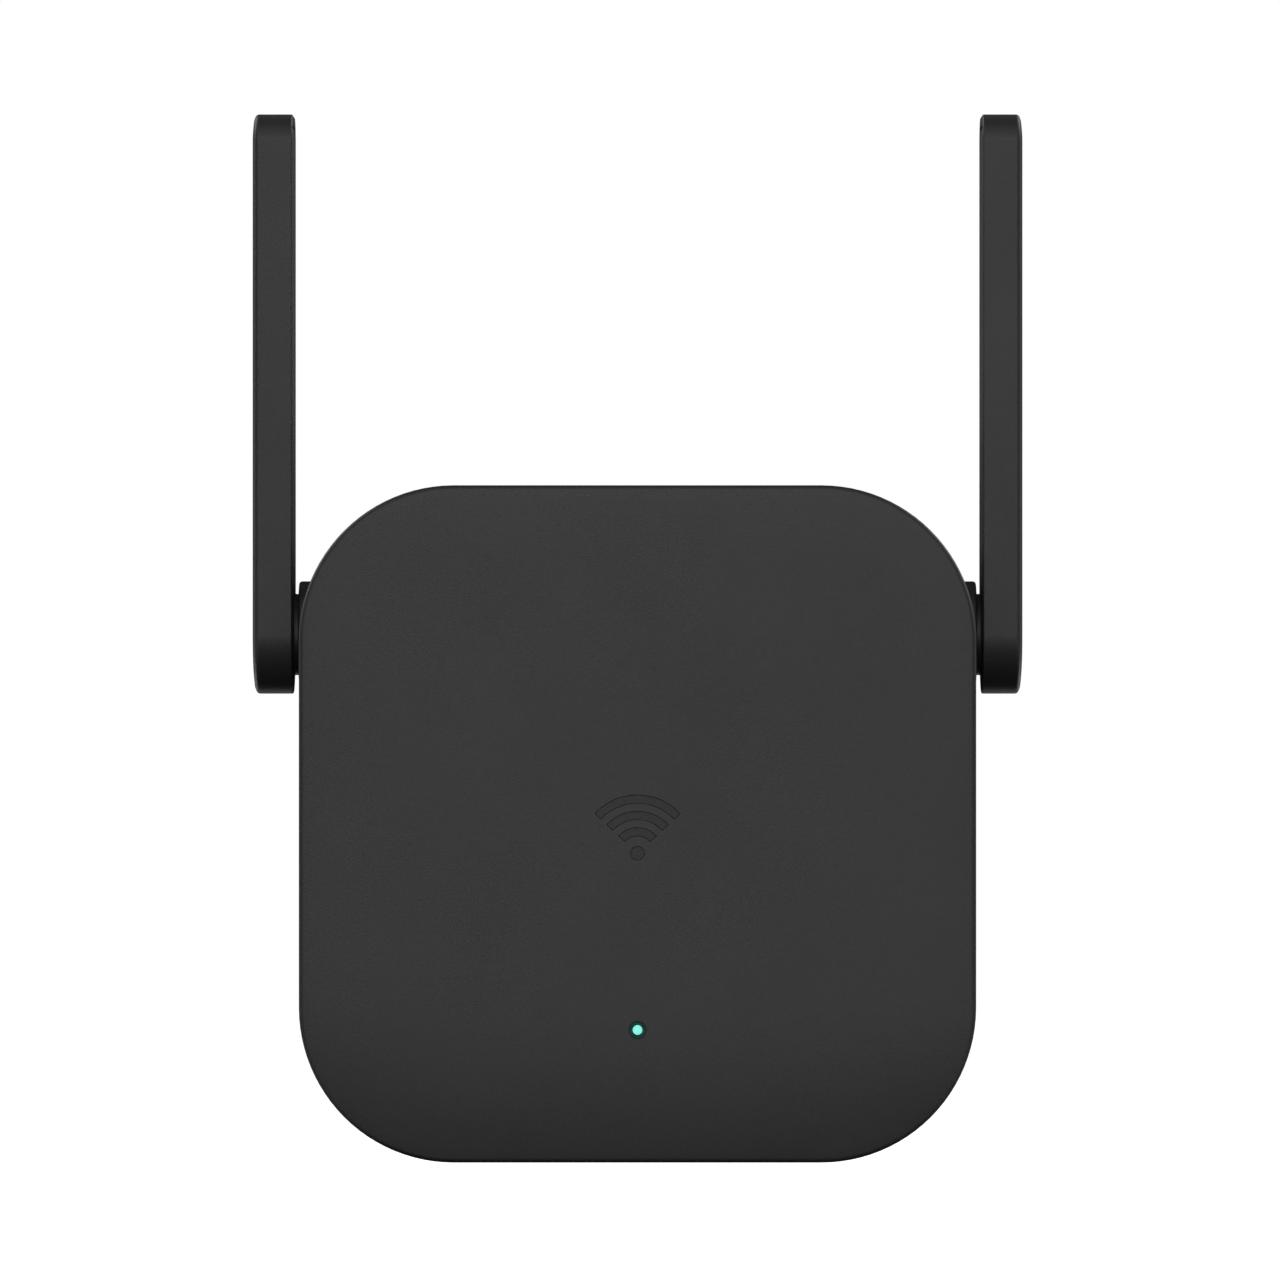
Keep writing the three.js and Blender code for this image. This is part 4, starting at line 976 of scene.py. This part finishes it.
piece("plug_base_body", plug_base(), M["plug"], "housing", ["plug_base"])
for side, x in (("left", -PIN_X), ("right", PIN_X)):
    piece(f"plug_pin_{side}_metal", plug_pin(x), M["nickel"], "housing", [f"plug_pin_{side}"])

# ---- Antennas ------------------------------------------------------------------------------------


def blade_ring(inset, x, arc=40, tip=12):
    """The blade's outline at an inset: a round end about the hinge and a blunt tip."""
    half = BLADE_HALF - inset
    least_r = 0.35
    corner = max(BLADE_TIP_R - inset, least_r)
    top = BLADE_TOP_Z - inset - corner
    points = [
        (HINGE_Y + half * math.cos(a), HINGE_Z + half * math.sin(a))
        for a in (math.pi + math.pi * i / arc for i in range(arc + 1))
    ]
    for centre_y, start in ((HINGE_Y + half - corner, 0), (HINGE_Y - half + corner, math.pi / 2)):
        points += [
            (centre_y + corner * math.cos(a), top + corner * math.sin(a))
            for a in (start + math.pi / 2 * i / tip for i in range(tip + 1))
        ]
    return set_along("x", points, x)


CROWN_DROP = 0.3  # how far the outer face falls towards its edges
CROWN_REACH = 3.5
BLADE_CROWN_INSETS = (0.7, 1.0, 1.5, 2.0, 2.5, 3.0, CROWN_REACH)
OUTER_ROUND = 0.5
INNER_ROUND = 0.2
SHELL_WALL = 1.2
LEDGE_IN = 2.6  # the ledge that the cover plate lies on
LEDGE_DEEP = 1.5
PLATE_STEPS = ((1.7, 1.2), (1.5, 1.0), (1.5, 0.15), (1.65, 0))  # insets and depths of the cover plate
HUB_EDGE = 0.2
HUB_FLANGE_X = 32.3  # the outer face of the hub's flange
HUB_BORE_PAST = 3  # how far the bore goes past the blade's inner face
WASHER_X = (32.6, 33.2)  # between the flange and the web


def antenna_shell():
    shoulder = BLADE_OUT_X - CROWN_DROP
    ledge = BLADE_IN_X + LEDGE_DEEP

    def crown(inset):
        return BLADE_OUT_X - CROWN_DROP * (1 - inset / CROWN_REACH) ** 2

    outer = arc_profile((OUTER_ROUND, shoulder - OUTER_ROUND), (-OUTER_ROUND, OUTER_ROUND), 0, 78, 9)
    profile = [
        (LEDGE_IN, BLADE_OUT_X - SHELL_WALL), (LEDGE_IN, ledge), (SHELL_WALL, ledge),
        (SHELL_WALL, BLADE_IN_X),
        *[(INNER_ROUND - a, BLADE_IN_X + INNER_ROUND - b)
          for a, b in arc_profile((0, 0), (INNER_ROUND, INNER_ROUND), 90, 0, 5)],
        *outer,
        *[(i, crown(i)) for i in BLADE_CROWN_INSETS],
    ]
    return loft([blade_ring(inset, x) for inset, x in profile])


def antenna_cover():
    """The inner plate with the hub: a flange inside the case, a neck, and a wider end at the blade."""
    edge, fillet, start = HUB_EDGE, 0.3, HUB_IN_X
    flange_r, foot_r = HUB_R - edge, HUB_R + fillet
    shoulder, foot = WEB_OUT_X + CLEARANCE, BLADE_IN_X - fillet
    plate = loft([blade_ring(inset, BLADE_IN_X + deep) for inset, deep in PLATE_STEPS])
    hub = hinge_lathe([
        (0, start), (flange_r - edge, start), (flange_r, start + edge), (flange_r, HUB_FLANGE_X - edge),
        (flange_r - edge, HUB_FLANGE_X), (NECK_R, HUB_FLANGE_X), (NECK_R, shoulder), (flange_r, shoulder),
        (HUB_R, shoulder + edge), (HUB_R, foot),
        *[(foot_r - a, foot + b) for a, b in arc_profile((0, 0), (fillet, fillet), 0, 90, 5)][1:-1],
        (foot_r, BLADE_IN_X + ROOT), (0, BLADE_IN_X + ROOT),
    ])
    low, high = start - OVERCUT, BLADE_IN_X + HUB_BORE_PAST
    bore = hinge_lathe([(0, low), (HUB_BORE_R, low), (HUB_BORE_R, high), (0, high)], 32)
    return combine(plate, [("UNION", [hub]), ("DIFFERENCE", [bore])])


def washer(count=64):
    """A flat ring with broken edges round the neck."""
    inner, outer, edge = NECK_R + CLEARANCE, HUB_R - HUB_EDGE, 0.12
    low, high = WASHER_X
    profile = [
        (inner + edge, low), (outer - edge, low), (outer, low + edge), (outer, high - edge),
        (outer - edge, high), (inner + edge, high), (inner, high - edge), (inner, low + edge),
    ]
    bm = bmesh.new()
    rows = [
        [bm.verts.new(p) for p in set_along("x", circle(r, count, (HINGE_Y, HINGE_Z)), x)] for r, x in profile
    ]
    for k, row in enumerate(rows):
        following = rows[(k + 1) % len(rows)]
        for i in range(count):
            j = (i + 1) % count
            bm.faces.new((row[i], row[j], following[j], following[i]))
    bmesh.ops.recalc_face_normals(bm, faces=bm.faces[:])
    return bm


RADIATOR_HALF = (3.5, 22)
RADIATOR_MIDDLE_Z = 56
RADIATOR_STEPS = ((0.06, 42.7), (0, 42.76), (0, 43.44), (0.06, 43.5))


def radiator():
    half_y, half_z = RADIATOR_HALF
    return loft([
        set_along("x", [
            (HINGE_Y + a, RADIATOR_MIDDLE_Z + b) for a, b in rounded_rect(half_y - i, half_z - i, 1 - i, 6)
        ], x)
        for i, x in RADIATOR_STEPS
    ])


for side in ("right", "left"):
    for part, make, material, slot_name in (
        ("shell", antenna_shell, "antenna", "antenna"), ("cover", antenna_cover, "antenna", "antenna"),
        ("washer", washer, "silicone", "silicone"), ("radiator", radiator, "antenna_board", "board"),
    ):
        bm = make()
        if side == "left":
            bm = mirror_x(bm)
        piece(
            f"{side}_antenna_{part}_body", bm, M[material], f"{side}_antenna",
            [f"antenna_{side}_{part}"],
        )

# ---- Inner pieces --------------------------------------------------------------------------------

slot_of = {entry["node"]: entry["material_slot"] for entry in frame["record"]["subparts"]}
body_of = {
    node: body for body, nodes in frame["record"]["behaviour"]["bodies"].items() for node in nodes
}
done = {name for obj in bpy.data.objects for name in obj.get("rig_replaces", [])}


def refined(node):
    """A finished copy of a small CAD node: merged, with its sharp edges broken and its turned faces
    smooth."""
    merge, broken_edge = 1e-3, 0.1
    bm = bmesh.new()
    bm.from_mesh(frame["nodes"][node].data)
    bmesh.ops.scale(bm, vec=(1 / MM,) * 3, verts=bm.verts[:])
    bmesh.ops.remove_doubles(bm, verts=bm.verts[:], dist=merge)
    bmesh.ops.dissolve_limit(
        bm, angle_limit=math.radians(1), verts=bm.verts[:], edges=bm.edges[:], delimit=set()
    )
    return bevelled(bm, broken_edge, angle=50, segments=2)


for node in sorted(frame["nodes"]):
    if node not in done:
        piece(
            f"{node}_detail", refined(node), M[slot_of[node]], body_of[node], [node],
            smooth=40,
        )

# ---- Floor and light -----------------------------------------------------------------------------

# In metres.
FLOOR_Z = -0.115
FLOOR_R = 12
FLOOR_FADE = 0.7  # where the floor reaches the brightness of the white room


def make_floor():
    """A pale floor that only the camera sees. It casts no shadow, so that lamps below it can stand in
    for the light that such a floor returns."""
    bm = bmesh.new()
    bmesh.ops.create_circle(bm, cap_ends=True, segments=96, radius=FLOOR_R)
    mesh = bpy.data.meshes.new("floor")
    bm.to_mesh(mesh)
    bm.free()
    floor = bpy.data.objects.new("floor", mesh)
    floor.location = (0, 0, FLOOR_Z)
    bpy.context.collection.objects.link(floor)
    n = Nodes("pale_floor")
    reach = n.add("ShaderNodeVectorMath", operation="LENGTH")
    n.link(n.place, reach.inputs[0])
    near = n.math("DIVIDE", reach.outputs["Value"], FLOOR_FADE)
    n.link(n.ramp(n.noise(60), (0.3, 0.80), (0.7, 0.82)), n.shader.inputs["Base Color"])
    n.shader.inputs["Roughness"].default_value = 0.9
    n.shader.inputs["Specular IOR Level"].default_value = 0.1
    n.shader.inputs["Emission Color"].default_value = (1, 1, 1, 1)
    # Painted light: the floor glows white, at half strength near the middle under the object and at full
    # strength from FLOOR_FADE out, so the floor is darker round the object.
    n.link(n.ramp(near, (0.2, 0.5), (1.0, 1.0)), n.shader.inputs["Emission Strength"])
    mesh.materials.append(n.material)
    floor.visible_diffuse = False
    floor.visible_glossy = False
    floor.visible_shadow = False


make_floor()

world = bpy.data.worlds.new("white_room")
bpy.context.scene.world = world
world.use_nodes = True
world.node_tree.nodes["Background"].inputs["Color"].default_value = (1, 1, 1, 1)
world.node_tree.nodes["Background"].inputs["Strength"].default_value = 1.0
world.cycles_visibility.diffuse = False
world.cycles_visibility.glossy = False
world.cycles_visibility.transmission = False
bpy.context.scene.view_settings.view_transform = "Standard"


def aim(obj, target):
    obj.rotation_euler = (Vector(target) - obj.location).to_track_quat("-Z", "Y").to_euler()


def set_up(name, data, place, target, watts):
    data.energy = watts
    lamp = bpy.data.objects.new(name, data)
    lamp.location = place
    bpy.context.collection.objects.link(lamp)
    aim(lamp, target)
    lamp.visible_camera = False


def area(name, place, target, size, watts):
    data = bpy.data.lights.new(name, "AREA")
    data.shape = "RECTANGLE"
    data.size, data.size_y = size
    set_up(name, data, place, target, watts)


def area_pair(name, place, size, watts):
    """The same lamp on the left and on the right, aimed at the middle."""
    x, y, z = place
    for side, sign in (("left", -1), ("right", 1)):
        area(name.format(side), (sign * x, y, z), (0, 0, 0), size, watts)


def spot(name, place, target, degrees, blend, radius, watts):
    data = bpy.data.lights.new(name, "SPOT")
    data.spot_size = math.radians(degrees)
    data.spot_blend = blend
    data.shadow_soft_size = radius
    set_up(name, data, place, target, watts)


# Places, targets and sizes are in metres, powers in watts. The bounce lamps stand below the floor.
spot("key", (0, -2.0, 0.30), (0, FRONT_Y * MM, 0.154), 11.4, 0.21, 0.006, 21)
area("front_soft", (0, -1.6, 0.45), (0, 0, 0.02), (2.0, 1.1), 8)
area("high_soft", (0, -0.9, 1.2), (0, 0, 0.02), (1.2, 0.9), 3.2)
area_pair("front_{}_bounce", (1.2, -1.2, -0.7), (0.7, 0.5), 3.5)
area_pair("{}_soft", (1.4, -0.1, 0.35), (0.8, 0.8), 2)
area_pair("rear_{}_soft", (1.2, 0.8, 1.05), (1.4, 1.2), 18)
area("rear_bounce", (0, 0.9, -0.5), (0, 0, 0), (1.0, 0.3), 0.9)
area_pair("rear_{}_bounce", (1.1, 1.1, -0.6), (0.8, 0.6), 5)
